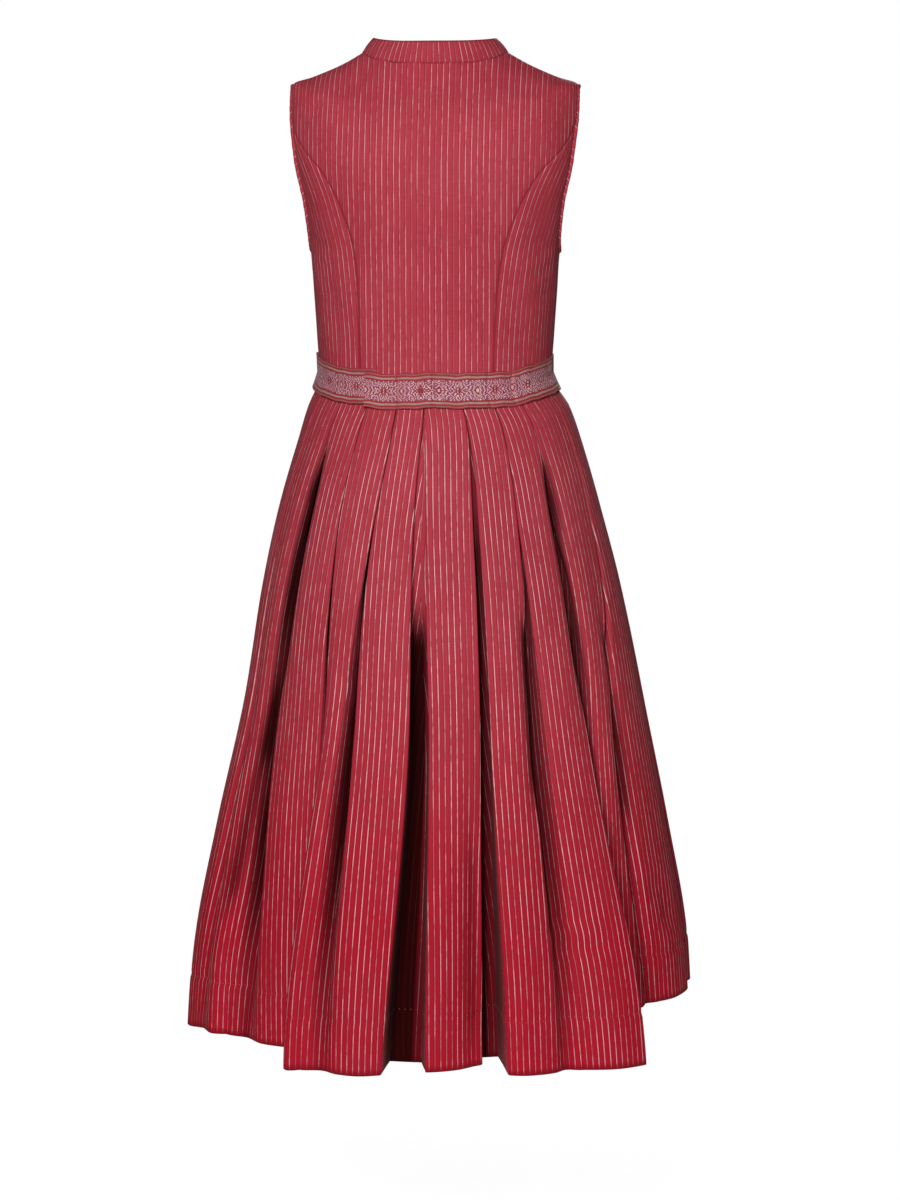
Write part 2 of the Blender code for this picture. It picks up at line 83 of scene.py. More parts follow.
COLLAR_TOP = Level(0.0500, 0.0466, -0.0200, 0.0665, 0.0565, 0.0580, 2.00)
SHOULDER_DROP, FRONT_DROP = 4, 2
NECK = 10.0


class Seam(NamedTuple):
    """Where the princess seams run at one level, in degrees from the centre back."""

    level: float
    back: float
    front: float


PRINCESS = (
    Seam(0.0, 33.0, 148.0),
    Seam(1.0, 32.0, 145.0),
    Seam(2.0, 31.0, 141.0),
    Seam(3.0, 32.2, 138.0),
    Seam(4.0, 38.2, 131.0),
    Seam(4.8, 47.0, 122.5),
    Seam(5.4, 63.0, 118.0),
    Seam(5.7, 71.0, 118.0),
)
TURN = -2.5


class Outline(NamedTuple):
    """The skirt's outline at one drop below the waist, and how far its middle shifts."""

    drop: float
    half_width: float
    depth: float
    shift: float


SKIRT_OUTLINE = (
    Outline(0.000, 0.1270, 0.0960, 0.0000),
    Outline(0.018, 0.1330, 0.1005, 0.0015),
    Outline(0.036, 0.1430, 0.1090, 0.0035),
    Outline(0.075, 0.1560, 0.1215, 0.0045),
    Outline(0.140, 0.1750, 0.1410, 0.0043),
    Outline(0.230, 0.1965, 0.1620, 0.0060),
    Outline(0.365, 0.2212, 0.1900, 0.0092),
    Outline(0.500, 0.2497, 0.2180, 0.0078),
    Outline(0.635, 0.2740, 0.2420, 0.0065),
    Outline(0.690, 0.2785, 0.2480, 0.0060),
    Outline(0.735, 0.2810, 0.2500, 0.0060),
)


class Fold(NamedTuple):
    """One fold between two pleats.

    The angles are of its left edge at the waist, hip, knee and hem, and the gaps are in
    degrees at hip, knee and hem. The depths, what reaches under the pleats and what its two
    edges stand out at the hem are in millimetres. Soft is 1 where it opens to a valley.
    """

    name: str
    waist: float
    hip: float
    knee: float
    hem: float
    gap_hip: float
    gap_knee: float
    gap_hem: float
    deep_hip: float
    deep_knee: float
    deep_hem: float
    under_left: float
    under_right: float
    out_left: float
    out_right: float
    soft: float


FOLDS = (
    Fold("left_side", -86, -88, -90, -92, 1.0, 5, 8, 8, 18, 10, 0, 2, 0, 0, 0.5),
    Fold("back_a", -65, -71, -73, -73, 1.0, 5, 8, 9, 18, 1.5, -8, -8, 0, -2, 1.0),
    Fold("back_b", -46, -54.9, -60, -60, 1.8, 8, 13, 14, 34, 4, -12, -12, -16, -24, 1.0),
    Fold("back_c", -30, -35.8, -34.4, -32.8, 0.8, 2.2, 1.5, 11, 30, 8, 0, 16, -48, 18, 0.0),
    Fold("back_d", -14.5, -20.4, -27.6, -28, 0.6, 5.5, 9, 10, 26, 8, -12, -12, 12, 12, 1.0),
    Fold("back_e", -2.5, -6.4, -7, -10, 4.4, 6.2, 9.6, 9, 52, 40, 4, -8, 2, -16, 0.0),
    Fold("back_f", 13, 14.6, 13.1, 13.6, 2.4, 3.3, 4.4, 9, 40, 30, 2, 8, -44, 2, 0.0),
    Fold("back_g", 28, 31.4, 27.9, 28, 0.6, 5.4, 7, 10, 26, 7, -10, -10, 8, 10, 1.0),
    Fold("back_h", 43.6, 49, 46.4, 48.4, 0.8, 6.2, 1.6, 12, 36, 10, 12, 0, 32, -62, 0.0),
    Fold("back_i", 67.5, 71, 59.3, 66, 0.8, 5.0, 8, 10, 22, 4, -8, -8, -30, -24, 1.0),
    Fold("right_side", 87, 88, 88, 90, 1.0, 5, 8, 8, 18, 8, 0, 2, -2, 0, 0.4),
    Fold("front_a", 105, 104, 105, 106, 1.0, 5, 7, 9, 22, 12, -8, -8, 2, 2, 1.0),
    Fold("front_b", 122, 121, 121, 121, 1.0, 5, 7, 8, 30, 38, 4, 4, 4, -4, 0.0),
    Fold("front_c", 138, 138, 139, 141, 1.0, 4, 8, 9, 22, 12, -8, -8, 2, 2, 1.0),
    Fold("front_d", 155, 155, 156, 157, 1.0, 5, 8, 8, 32, 40, 4, 2, 2, -6, 0.0),
    Fold("front_e", 178.8, 178.5, 178, 177, 1.0, 4, 6, 8, 22, 26, 2, 2, 2, 2, 0.2),
    Fold("front_f", 204, 204, 202, 200, 1.0, 5, 9, 8, 30, 40, 2, 4, -5, 3, 0.0),
    Fold("front_g", 220, 220, 219, 216, 1.0, 4, 8, 9, 22, 12, -8, -8, 2, 2, 1.0),
    Fold("front_h", 236, 236, 235, 233, 1.0, 5, 8, 8, 30, 36, 4, 4, -3, 4, 0.0),
    Fold("front_i", 254, 254, 252, 250, 1.0, 5, 7, 9, 20, 12, -8, -8, 2, 0, 1.0),
)
RIGHT_SIDE, CLOSING = 10, 15
# The fold whose painted shade begins lower down the skirt.
LATE_FOLD = "back_e"
SKIRT_LENGTH = 0.7145
BODICE_DEGREE, BODICE_ROW, SKIRT_DEGREE = 0.0023, 0.036, 0.0042


def ease(share: np.ndarray) -> np.ndarray:
    """Shares from 0 to 1 with a soft start and end.

    Args:
        share: numbers, clipped to 0 to 1.

    Returns:
        The eased shares.
    """
    share = np.clip(share, 0.0, 1.0)
    return share * share * (3 - 2 * share)


def power(value: np.ndarray, exponent: np.ndarray) -> np.ndarray:
    """A power that keeps each number's sign."""
    return np.sign(value) * np.abs(value) ** exponent


def bump(distance: np.ndarray, width: float) -> np.ndarray:
    """A soft rise of height 1 that fades out at about twice the width."""
    return np.exp(-((distance / width) ** 2))


class Line:
    """A smooth line through the stops of a table, which never overshoots them."""

    def __init__(self, stops: Sequence[float], values: Sequence[float]) -> None:
        """Works out the slope at each stop.

        Args:
            stops: where the values hold, rising.
            values: the line's height at each stop.
        """
        self.stops = np.asarray(stops, float)
        self.values = np.asarray(values, float)
        self.step = np.diff(self.stops)
        rise = np.diff(self.values) / self.step
        self.slope = np.zeros(len(self.values))
        self.slope[0], self.slope[-1] = rise[0], rise[-1]
        for i in range(1, len(self.values) - 1):
            if rise[i - 1] * rise[i] > 0:
                self.slope[i] = 2 * rise[i - 1] * rise[i] / (rise[i - 1] + rise[i])

    def at(self, where: np.ndarray) -> np.ndarray:
        """The line's height.

        Args:
            where: one number or an array, clipped to the stops.

        Returns:
            The heights, in the same shape.
        """
        where = np.clip(where, self.stops[0], self.stops[-1])
        i = np.searchsorted(self.stops, where, side="right") - 1
        i = np.clip(i, 0, len(self.step) - 1)
        step = self.step[i]
        u = (where - self.stops[i]) / step
        return (
            self.values[i] * (1 + 2 * u) * (1 - u) ** 2
            + self.slope[i] * step * u * (1 - u) ** 2
            + self.values[i + 1] * u * u * (3 - 2 * u)
            + self.slope[i + 1] * step * u * u * (u - 1)
        )


def ring_points(level: Level, angles: np.ndarray) -> np.ndarray:
    """Points of a level's outline.

    Args:
        level: the level's sizes, each a number or an array that broadcasts with the angles.
        angles: degrees round from the centre back.

    Returns:
        The points, with x, y and z in the last axis.
    """
    turn = np.radians(angles)
    across, along = np.sin(turn), np.cos(turn)
    behind = along > 0
    bend = 2 / np.asarray(level.square)
    depth = np.where(behind, level.depth_back, level.depth_front)
    middle = np.where(behind, level.back, level.front)
    drop = np.where(behind, SHOULDER_DROP, FRONT_DROP)
    height = middle + (level.side - middle) * np.abs(across) ** drop
    x = level.half_width * power(across, bend)
    return np.stack([x, -depth * power(along, bend), height], axis=-1)


def unit(vectors: np.ndarray) -> np.ndarray:
    """The vectors at length 1."""
    length = np.linalg.norm(vectors, axis=-1, keepdims=True)
    return vectors / np.maximum(length, 1e-12)


def grid_normals(points: np.ndarray) -> np.ndarray:
    """Outward directions of a grid of points, whose rows rise and whose columns turn right."""
    return unit(np.cross(np.gradient(points, axis=1), np.gradient(points, axis=0)))


def grid_quads(rows: int, columns: int, round_rows: bool, round_columns: bool) -> np.ndarray:
    """The corners of a grid's faces, from low left round to high left.

    Args:
        rows: the grid's rows.
        columns: the grid's columns.
        round_rows: whether the last row joins the first.
        round_columns: whether the last column joins the first.

    Returns:
        Four point numbers for each face, by row and column.
    """
    low = np.arange(rows if round_rows else rows - 1)[:, None]
    left = np.arange(columns if round_columns else columns - 1)[None, :]
    high, right = (low + 1) % rows, (left + 1) % columns
    return np.stack([low * columns + left, low * columns + right,
                     high * columns + right, high * columns + left], axis=-1)


def lengths(points: np.ndarray, axis: int = 1) -> np.ndarray:
    """How far along a grid's rows or columns each point lies.

    Args:
        points: rows by columns by x, y, z.
        axis: 1 for along the rows, 0 for up the columns.

    Returns:
        The running length at each point, from 0.
    """
    steps = np.linalg.norm(np.diff(points, axis=axis), axis=-1)
    pad = [(0, 0), (0, 0)]
    pad[axis] = (1, 0)
    return np.pad(np.cumsum(steps, axis=axis), pad)


class BodyForm:
    """The general figure's form under the bodice, by degrees and row."""

    def __init__(self) -> None:
        """Draws a smooth line through each column of the bodice's table."""
        rows = range(len(BODICE_LEVELS))
        self.columns = [Line(rows, column) for column in zip(*BODICE_LEVELS)]

    def level(self, row: np.ndarray) -> Level:
        """The bodice's sizes at a row."""
        return Level(*(column.at(row) for column in self.columns))

    def points(self, angles: np.ndarray, rows: np.ndarray) -> np.ndarray:
        """Points of the surface at degrees and rows that broadcast together."""
        return ring_points(self.level(rows), angles)

    def normals(self, angles: np.ndarray, rows: np.ndarray) -> np.ndarray:
        """The surface's outward directions at degrees and rows."""
        turn, rise = 0.5, 0.02
        low, high = np.maximum(rows - rise, 0.0), np.minimum(rows + rise, NECK)
        around = self.points(angles + turn, rows) - self.points(angles - turn, rows)
        return unit(np.cross(around, self.points(angles, high) - self.points(angles, low)))

    def degrees(self, distance: float, angle: float, row: float) -> float:
        """The degrees that a distance takes along a row."""
        step = self.points(np.array(angle + 0.5), row) - self.points(np.array(angle - 0.5), row)
        return distance / float(np.linalg.norm(step))


@dataclass
class SkirtForm:
    """The skirt's plain outline, with no pleats."""

    hem: float = -1.0415
    hem_rise: float = 0.0375
    rise_from: float = 50
    rise_over: float = 11
    fall_from: float = 95
    fall_over: float = 50
    hitch: float = 0.0072
    hitch_from: float = 280
    hitch_over: float = 14
    drop_from: float = 322
    drop_over: float = 5
    square_to: float = 0.12

    def __post_init__(self) -> None:
        """Draws a smooth line through each column of the skirt's table."""
        stops, *columns = zip(*SKIRT_OUTLINE)
        self.columns = [Line(stops, column) for column in columns]

    def waist_height(self, angles: np.ndarray) -> np.ndarray:
        """The waist seam's height."""
        return ring_points(WAIST_LEVEL, angles)[..., 2]

    def hem_height(self, angles: np.ndarray) -> np.ndarray:
        """The hem's height, which lifts at the wearer's right and a little behind the left."""
        angles = np.mod(angles, 360)
        risen = ease((angles - self.rise_from) / self.rise_over)
        fallen = ease((angles - self.fall_from) / self.fall_over)
        hitched = ease((angles - self.hitch_from) / self.hitch_over)
        dropped = ease((angles - self.drop_from) / self.drop_over)
        return self.hem + self.hem_rise * (risen - fallen) + self.hitch * (hitched - dropped)

    def surface(self, angles: np.ndarray, drop: np.ndarray) -> tuple[np.ndarray, np.ndarray]:
        """Points at degrees and drops below the waist.

        Args:
            angles: degrees round from the centre back.
            drop: how far below the waist, in metres.

        Returns:
            The points and their outward directions.
        """
        half, deep, shift = (column.at(drop) for column in self.columns)
        turn = np.radians(angles)
        square = 2 + (WAIST_LEVEL.square - 2) * (1 - ease(drop / self.square_to))
        x = half * power(np.sin(turn), 2 / square) + shift
        y = -deep * power(np.cos(turn), 2 / square)
        points = np.stack([x, y, self.waist_height(angles) - drop], axis=-1)
        normals = [np.sin(turn) / half, -np.cos(turn) / deep, np.zeros_like(x)]
        return points, unit(np.stack(normals, axis=-1))

    def points(self, angles: np.ndarray, out: np.ndarray, share: np.ndarray) -> np.ndarray:
        """Points moved out of the outline, at shares of the way from waist to hem."""
        drop = share * (self.waist_height(angles) - self.hem_height(angles))
        points, normals = self.surface(angles, drop)
        return points + normals * np.asarray(out)[..., None]

    def metres(self, angles: np.ndarray, share: np.ndarray) -> np.ndarray:
        """Metres round the skirt for each degree."""
        low, high = self.points(angles - 0.5, 0, share), self.points(angles + 0.5, 0, share)
        return np.linalg.norm(high - low, axis=-1)


class Side(Enum):
    """Which way a tree's socket faces."""

    INPUT = "INPUT"
    OUTPUT = "OUTPUT"


class Kind(Enum):
    """The kinds of socket that the trees use."""

    NUMBER = "NodeSocketFloat"
    WHOLE = "NodeSocketInt"
    VECTOR = "NodeSocketVector"
    SHAPE = "NodeSocketGeometry"
    FINISH = "NodeSocketMaterial"


Socket = bpy.types.NodeSocket
Triple = tuple[float, float, float]
Colour = tuple[float, float, float, float]


class Graph:
    """A node tree with short ways to add nodes and link them."""

    def __init__(self, tree: bpy.types.NodeTree) -> None:
        """Keeps the tree that the nodes go into."""
        self.tree = tree

    @classmethod
    def group(cls, name: str, kind: str, inputs: dict[str, Kind | float],
              outputs: dict[str, Kind]) -> "Graph":
        """A new node group with its named sockets.

        Args:
            name: the group's name.
            kind: the type of its tree.
            inputs: by name, what each input carries, or a number's starting value.
            outputs: by name, what each output carries.

        Returns:
            The group's graph.
        """
        graph = cls(bpy.data.node_groups.new(name, kind))
        for side, sockets in ((Side.INPUT, inputs), (Side.OUTPUT, outputs)):
            for label, given in sockets.items():
                carried = given if isinstance(given, Kind) else Kind.NUMBER
                made = graph.tree.interface.new_socket(
                    name=label, in_out=side.value, socket_type=carried.value
                )
                if given is not carried:
                    made.default_value = given
        return graph

    def node(self, kind: str, values: dict | None = None, **settings: object) -> bpy.types.Node:
        """Adds a node.

        Args:
            kind: the node's type name.
            values: input values or sockets to link, by the input's name or number.
            settings: the node's own options.

        Returns:
            The node.
        """
        node = self.tree.nodes.new(kind)
        for name, value in settings.items():
            setattr(node, name, value)
        return self.fill(node, values or {})

    def fill(self, node: bpy.types.Node, values: dict) -> bpy.types.Node:
        """Links or sets a node's inputs, by their names or numbers."""
        for key, value in values.items():
            self.put(node.inputs[key], value)
        return node

    def put(self, target: Socket, value: object) -> None:
        """Links a socket to an input, or sets the input's own value."""
        if isinstance(value, Socket):
            self.tree.links.new(value, target)
        else:
            target.default_value = value

    def math(self, operation: str, *values: object, clamp: bool = False) -> Socket:
        """The result of a sum on numbers or sockets."""
        numbered = dict(enumerate(values))
        node = self.node("ShaderNodeMath", numbered, operation=operation, use_clamp=clamp)
        return node.outputs[0]

    def span(self, value: Socket, low: object, high: object, to_low: object = 0.0,
             to_high: object = 1.0) -> Socket:
        """A value between two limits, put softly on a new range.

        Args:
            value: the number to change.
            low: its first limit.
            high: its second limit.
            to_low: what the first limit becomes.
            to_high: what the second limit becomes.

        Returns:
            The new number.
        """
        values = {0: value, 1: low, 2: high, 3: to_low, 4: to_high}
        node = self.node("ShaderNodeMapRange", values, interpolation_type="SMOOTHSTEP")
        return node.outputs[0]

    def times(self, first: object, second: object) -> Socket:
        """Two numbers multiplied."""
        return self.math("MULTIPLY", first, second)

    def mix(self, share: object, first: object, second: object) -> Socket:
        """Two colours mixed."""
        values = {0: share, 6: first, 7: second}
        return self.node("ShaderNodeMix", values, data_type="RGBA").outputs[2]

    def noise(self, vector: object, scale: object, detail: float) -> Socket:
        """Smooth noise around one half."""
        values = {"Vector": vector, "Scale": scale, "Detail": detail}
        return self.node("ShaderNodeTexNoise", values).outputs[0]

    def stretched(self, vector: object, scales: Triple, detail: float) -> Socket:
        """Smooth noise with a scale of its own along each way."""
        way = self.node("ShaderNodeVectorMath", {0: vector, 1: scales}, operation="MULTIPLY")
        return self.noise(way.outputs[0], 1.0, detail)

    def attribute(self, name: str, output: str = "Fac") -> Socket:
        """A mesh's own value at each point."""
        return self.node("ShaderNodeAttribute", attribute_name=name).outputs[output]

    def vector(self, x: object, y: object = 0.0, z: object = 0.0) -> Socket:
        """Three numbers as a vector."""
        return self.node("ShaderNodeCombineXYZ", {0: x, 1: y, 2: z}).outputs[0]


class SharedGroups:
    """The shader groups that several finishes use, each built once."""

    def __init__(self) -> None:
        """Builds the groups."""
        self.stripes = self._stripes()
        self.weave = self._weave()
        self.tone = self._tone()

    @staticmethod
    def _stripes() -> bpy.types.NodeTree:
        """Fine woven stripes along the cloth, uneven in brightness along their length."""
        graph = Graph.group(
            "woven stripes", "ShaderNodeTree",
            {"Cloth": Kind.VECTOR, "Spacing": 0.0064, "Width": 0.00058, "Line": 0.0008, "Broken": 0.5},
            {"Light": Kind.NUMBER, "Tone": Kind.NUMBER, "Dark": Kind.NUMBER},
        )
        given = graph.node("NodeGroupInput").outputs
        split = graph.node("ShaderNodeSeparateXYZ", {0: given["Cloth"]}).outputs
        across = graph.math("DIVIDE", split[0], given["Spacing"])
        number = graph.math("ROUND", across)
        off = graph.times(graph.math("SUBTRACT", across, number), given["Spacing"])
        half, edge, beside = (graph.times(given["Width"], part) for part in (0.5, 0.85, 1.4))
        light = graph.span(graph.math("ABSOLUTE", off), edge, half)
        past = graph.math("ABSOLUTE", graph.math("ADD", off, beside))
        dark = graph.span(past, given["Line"], graph.times(given["Line"], 0.3))
        own = graph.node("ShaderNodeTexWhiteNoise", {1: number}, noise_dimensions="1D").outputs[0]
        at = graph.vector(graph.times(number, 5.37), split[1])
        slow = graph.span(graph.stretched(at, (1, 14, 1), 1.0), 0.34, 0.66, -0.35, 0.45)
        fast = graph.span(graph.stretched(at, (1.7, 95, 1), 1.0), 0.38, 0.60, -0.5, 0.3)
        tone = graph.math("ADD", graph.times(own, 0.60), slow)
        tone = graph.math("ADD", tone, graph.times(fast, given["Broken"]))
        tone = graph.math("ADD", tone, 0.18, clamp=True)
        graph.node("NodeGroupOutput", {"Light": light, "Tone": tone, "Dark": dark})
        return graph.tree

    @staticmethod
    def _weave() -> bpy.types.NodeTree:
        """Crossing threads: their height, and threads a little lighter and darker."""
        graph = Graph.group("crossing threads", "ShaderNodeTree",
                            {"Cloth": Kind.VECTOR, "Thread": 0.0006},
                            {"Height": Kind.NUMBER, "Mottle": Kind.NUMBER})
        given = graph.node("NodeGroupInput").outputs
        split = graph.node("ShaderNodeSeparateXYZ", {0: given["Cloth"]}).outputs
        warp, weft = (
            graph.math("SINE", graph.math("DIVIDE", graph.times(way, math.pi), given["Thread"]))
            for way in (split[0], split[1])
        )
        height = graph.span(graph.times(warp, weft), -1.0, 1.0)
        upright, level = (
            graph.stretched(given["Cloth"], scales, 2.0) for scales in ((900, 40, 1), (60, 1100, 1))
        )
        mottle = graph.span(graph.math("ADD", upright, level), 0.7, 1.3)
        graph.node("NodeGroupOutput", {"Height": height, "Mottle": mottle})
        return graph.tree

    @staticmethod
    def _tone() -> bpy.types.NodeTree:
        """Slow changes of depth over the cloth, as pressing and handling leave."""
        graph = Graph.group("pressed tone", "ShaderNodeTree", {"Place": Kind.VECTOR, "Size": 9.0},
                            {"Shade": Kind.NUMBER})
        given = graph.node("NodeGroupInput").outputs
        wide = graph.noise(given["Place"], given["Size"], 3.0)
        graph.node("NodeGroupOutput", {"Shade": graph.span(wide, 0.32, 0.68)})
        return graph.tree


def blank_finish(name: str) -> tuple[bpy.types.Material, Graph, bpy.types.Node]:
    """A new material, the graph of its nodes and its shader."""
    material = bpy.data.materials.new(name)
    material.use_nodes = True
    return material, Graph(material.node_tree), material.node_tree.nodes["Principled BSDF"]


@dataclass(frozen=True)
class ClothFinish:
    """The dress's striped cloth, with its soft sheen.

    The ground's painted sheen fades out between two given heights: paler and pinker high up,
    redder and darker low down, as if the upper cloth caught more light. Brightens and the painted
    hem shade each hold two heights and the stripes' strength at each; the hem shade dims the
    stripes towards the hem as painted shade.
    """

    name: str
    ground: Colour = (0.49, 0.053, 0.080, 1)
    deep: Colour = (0.34, 0.018, 0.034, 1)
    # the ground low down, redder and darker, without the painted sheen
    low: Colour = (0.44, 0.003, 0.020, 1)
    bright: Colour = (0.92, 0.54, 0.54, 1)
    dull: Colour = (0.46, 0.14, 0.14, 1)
    dark: Colour = (0.16, 0.005, 0.012, 1)
    fold: Colour = (0.18, 0.003, 0.008, 1)
    # painted shade: the near-black colour of the folds' hollows and crease troughs
    painted_hollow_shade: Colour = (0.016, 0.0, 0.0, 1)
    # heights over which the ground's painted sheen fades: paler and pinker above, redder and darker
    # below
    painted_sheen_heights: tuple[float, float] = (-0.45, -0.95)
    brightens: tuple[float, ...] = (-0.30, -0.45, 0.60, 0.88)
    # painted shade: the stripes grow dimmer towards the hem
    painted_hem_shade: tuple[float, ...] = (-0.70, -1.0, 1.0, 0.76)
    broken: float = 0.7
    turn: float = 0.0
    roughness: float = 0.66
    sheen: float = 0.035
    sheen_tint: Colour = (0.75, 0.42, 0.40, 1)
    specular: float = 0.07

    def build(self, groups: SharedGroups) -> bpy.types.Material:
        """Makes the material.

        Args:
            groups: the shared shader groups.

        Returns:
            The material.
        """
        material, graph, shader = blank_finish(self.name)
        cloth = graph.node("ShaderNodeUVMap", uv_map="cloth").outputs[0]
        if self.turn:
            turned = {0: cloth, "Rotation": (0, 0, self.turn)}
            cloth = graph.node("ShaderNodeMapping", turned).outputs[0]
        place = graph.node("ShaderNodeTexCoord").outputs["Object"]
        stripes, weave, tone = (
            graph.node("ShaderNodeGroup", values, node_tree=tree).outputs for tree, values in (
                (groups.stripes, {"Cloth": cloth, "Broken": self.broken}),
                (groups.weave, {"Cloth": cloth}),
                (groups.tone, {"Place": place}),
            )
        )
        # The second attribute is painted shade for the folds' hollows and crease troughs.
        edge, painted_shade_mask = graph.attribute("fold_edge"), graph.attribute("painted_fold_shade")
        down = graph.node("ShaderNodeSeparateXYZ", {0: place}).outputs[2]
        # Painted sheen and light: the ground is paler and pinker high up and turns redder and darker
        # towards the hem.
        colour = graph.mix(graph.span(down, *self.painted_sheen_heights), self.ground, self.low)
        colour = graph.mix(graph.times(tone["Shade"], 0.30), colour, self.deep)
        colour = graph.mix(graph.times(weave["Mottle"], 0.42), colour, self.deep)
        plain = graph.math("SUBTRACT", 1.0, edge)
        beside = graph.times(stripes["Dark"], plain)
        colour = graph.mix(graph.times(beside, 0.45), colour, self.dark)
        light = graph.times(stripes["Light"], plain)
        # Painted shade: the stripes dim towards the hem.
        strength = graph.times(graph.span(down, *self.brightens), graph.span(down, *self.painted_hem_shade))
        stripe = graph.mix(stripes["Tone"], self.dull, self.bright)
        colour = graph.mix(graph.times(light, strength), colour, stripe)
        colour = graph.mix(graph.times(edge, 0.8), colour, self.fold)
        # Painted shade: near-black in the folds' hollows and crease troughs, with rougher cloth there
        # too.
        colour = graph.mix(graph.times(painted_shade_mask, 0.98), colour, self.painted_hollow_shade)
        rough = graph.math("SUBTRACT", self.roughness, graph.times(light, 0.14))
        rough = graph.math("ADD", rough, graph.times(painted_shade_mask, 0.3))
        height = graph.math("ADD", weave["Height"], graph.times(light, 1.2))
        values = {"Strength": 0.35, "Distance": 0.00012, "Height": height}
        graph.fill(shader, {
            "Base Color": colour, "Roughness": rough,
            "Normal": graph.node("ShaderNodeBump", values).outputs[0],
            "Sheen Weight": self.sheen, "Sheen Roughness": 0.42,
            "Sheen Tint": self.sheen_tint, "Specular IOR Level": self.specular,
        })
        return material


@dataclass(frozen=True)
class RibbonFinish:
    """The patterned ribbon, whose threads take their colours from its woven chart."""

    name: str = "woven ribbon"
    fringe: Colour = (0.34, 0.03, 0.05, 1)
    roughness: float = 0.66
    sheen: float = 0.10
    specular: float = 0.3

    def build(self, groups: SharedGroups) -> bpy.types.Material:
        """Makes the material.

        Args:
            groups: the shared shader groups.

        Returns:
            The material.
        """
        material, graph, shader = blank_finish(self.name)
        cloth = graph.node("ShaderNodeUVMap", uv_map="cloth").outputs[0]
        place = graph.node("ShaderNodeTexCoord").outputs["Object"]
        weave, tone = (
            graph.node("ShaderNodeGroup", values, node_tree=tree).outputs for tree, values in (
                (groups.weave, {"Cloth": cloth, "Thread": 0.0005}),
                (groups.tone, {"Place": place, "Size": 40.0}),
            )
        )
        colour = graph.attribute("woven", "Color")
        colour = graph.mix(graph.times(weave["Mottle"], 0.26), colour, self.fringe)
        colour = graph.mix(graph.times(tone["Shade"], 0.30), colour, self.fringe)
        values = {"Strength": 0.5, "Distance": 0.00015, "Height": weave["Height"]}
        graph.fill(shader, {
            "Base Color": colour, "Normal": graph.node("ShaderNodeBump", values).outputs[0],
            "Roughness": self.roughness, "Sheen Weight": self.sheen,
            "Specular IOR Level": self.specular,
        })
        return material


@dataclass(frozen=True)
class ThreadFinish:
    """Sewing thread, twisted from two strands."""

    name: str
    colour: Colour
    shade: Colour
    roughness: float = 0.5
    twist: float = 5200.0

    def build(self) -> bpy.types.Material:
        """Makes the material."""
        material, graph, shader = blank_finish(self.name)
        place = graph.node("ShaderNodeTexCoord").outputs["Object"]
        twist = graph.node("ShaderNodeTexWave", {"Vector": place, "Scale": self.twist},
                           bands_direction="DIAGONAL")
        colour = graph.mix(twist.outputs["Fac"], self.shade, self.colour)
        graph.fill(shader, {"Base Color": colour, "Roughness": self.roughness})
        return material


@dataclass
class Workshop:
    """What every sub-assembly needs: the forms, the finishes and the way to hand a piece in."""

    body: BodyForm = field(default_factory=BodyForm)
    skirt: SkirtForm = field(default_factory=SkirtForm)
    finishes: dict[str, bpy.types.Material] = field(default_factory=dict)
    triangles: int = 0

    def dress_up(self) -> None:
        """Builds the finishes."""
        groups = SharedGroups()
        cloths = (
            ClothFinish("striped cloth"),
            ClothFinish("striped cloth cut on the cross", turn=math.radians(52), broken=0.9),
        )
        self.finishes = {cloth.name: cloth.build(groups) for cloth in cloths}
        self.finishes["woven ribbon"] = RibbonFinish().build(groups)
        threads = (
            ThreadFinish("seam thread", (0.20, 0.008, 0.02, 1), (0.10, 0.004, 0.01, 1)),
            ThreadFinish("hem thread", (0.62, 0.26, 0.29, 1), (0.40, 0.10, 0.13, 1)),
            ThreadFinish("ribbon thread", (0.34, 0.05, 0.06, 1), (0.22, 0.02, 0.03, 1)),
        )
        self.finishes |= {thread.name: thread.build() for thread in threads}

    def hand_in(self, piece: bpy.types.Object, slot: str, nodes: Sequence[str] = ()) -> None:
        """Puts a finished piece on the dress's one body.

        Args:
            piece: the object, at the origin.
            slot: a material slot's name; not used.
            nodes: the solids that it stands for.
        """
        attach(piece, BODY)
        if nodes:
            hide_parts(*nodes)
        count = sum(len(face.vertices) - 2 for face in piece.data.polygons)
        self.triangles += count
        LOG.info("%s: %d triangles", piece.name, count)


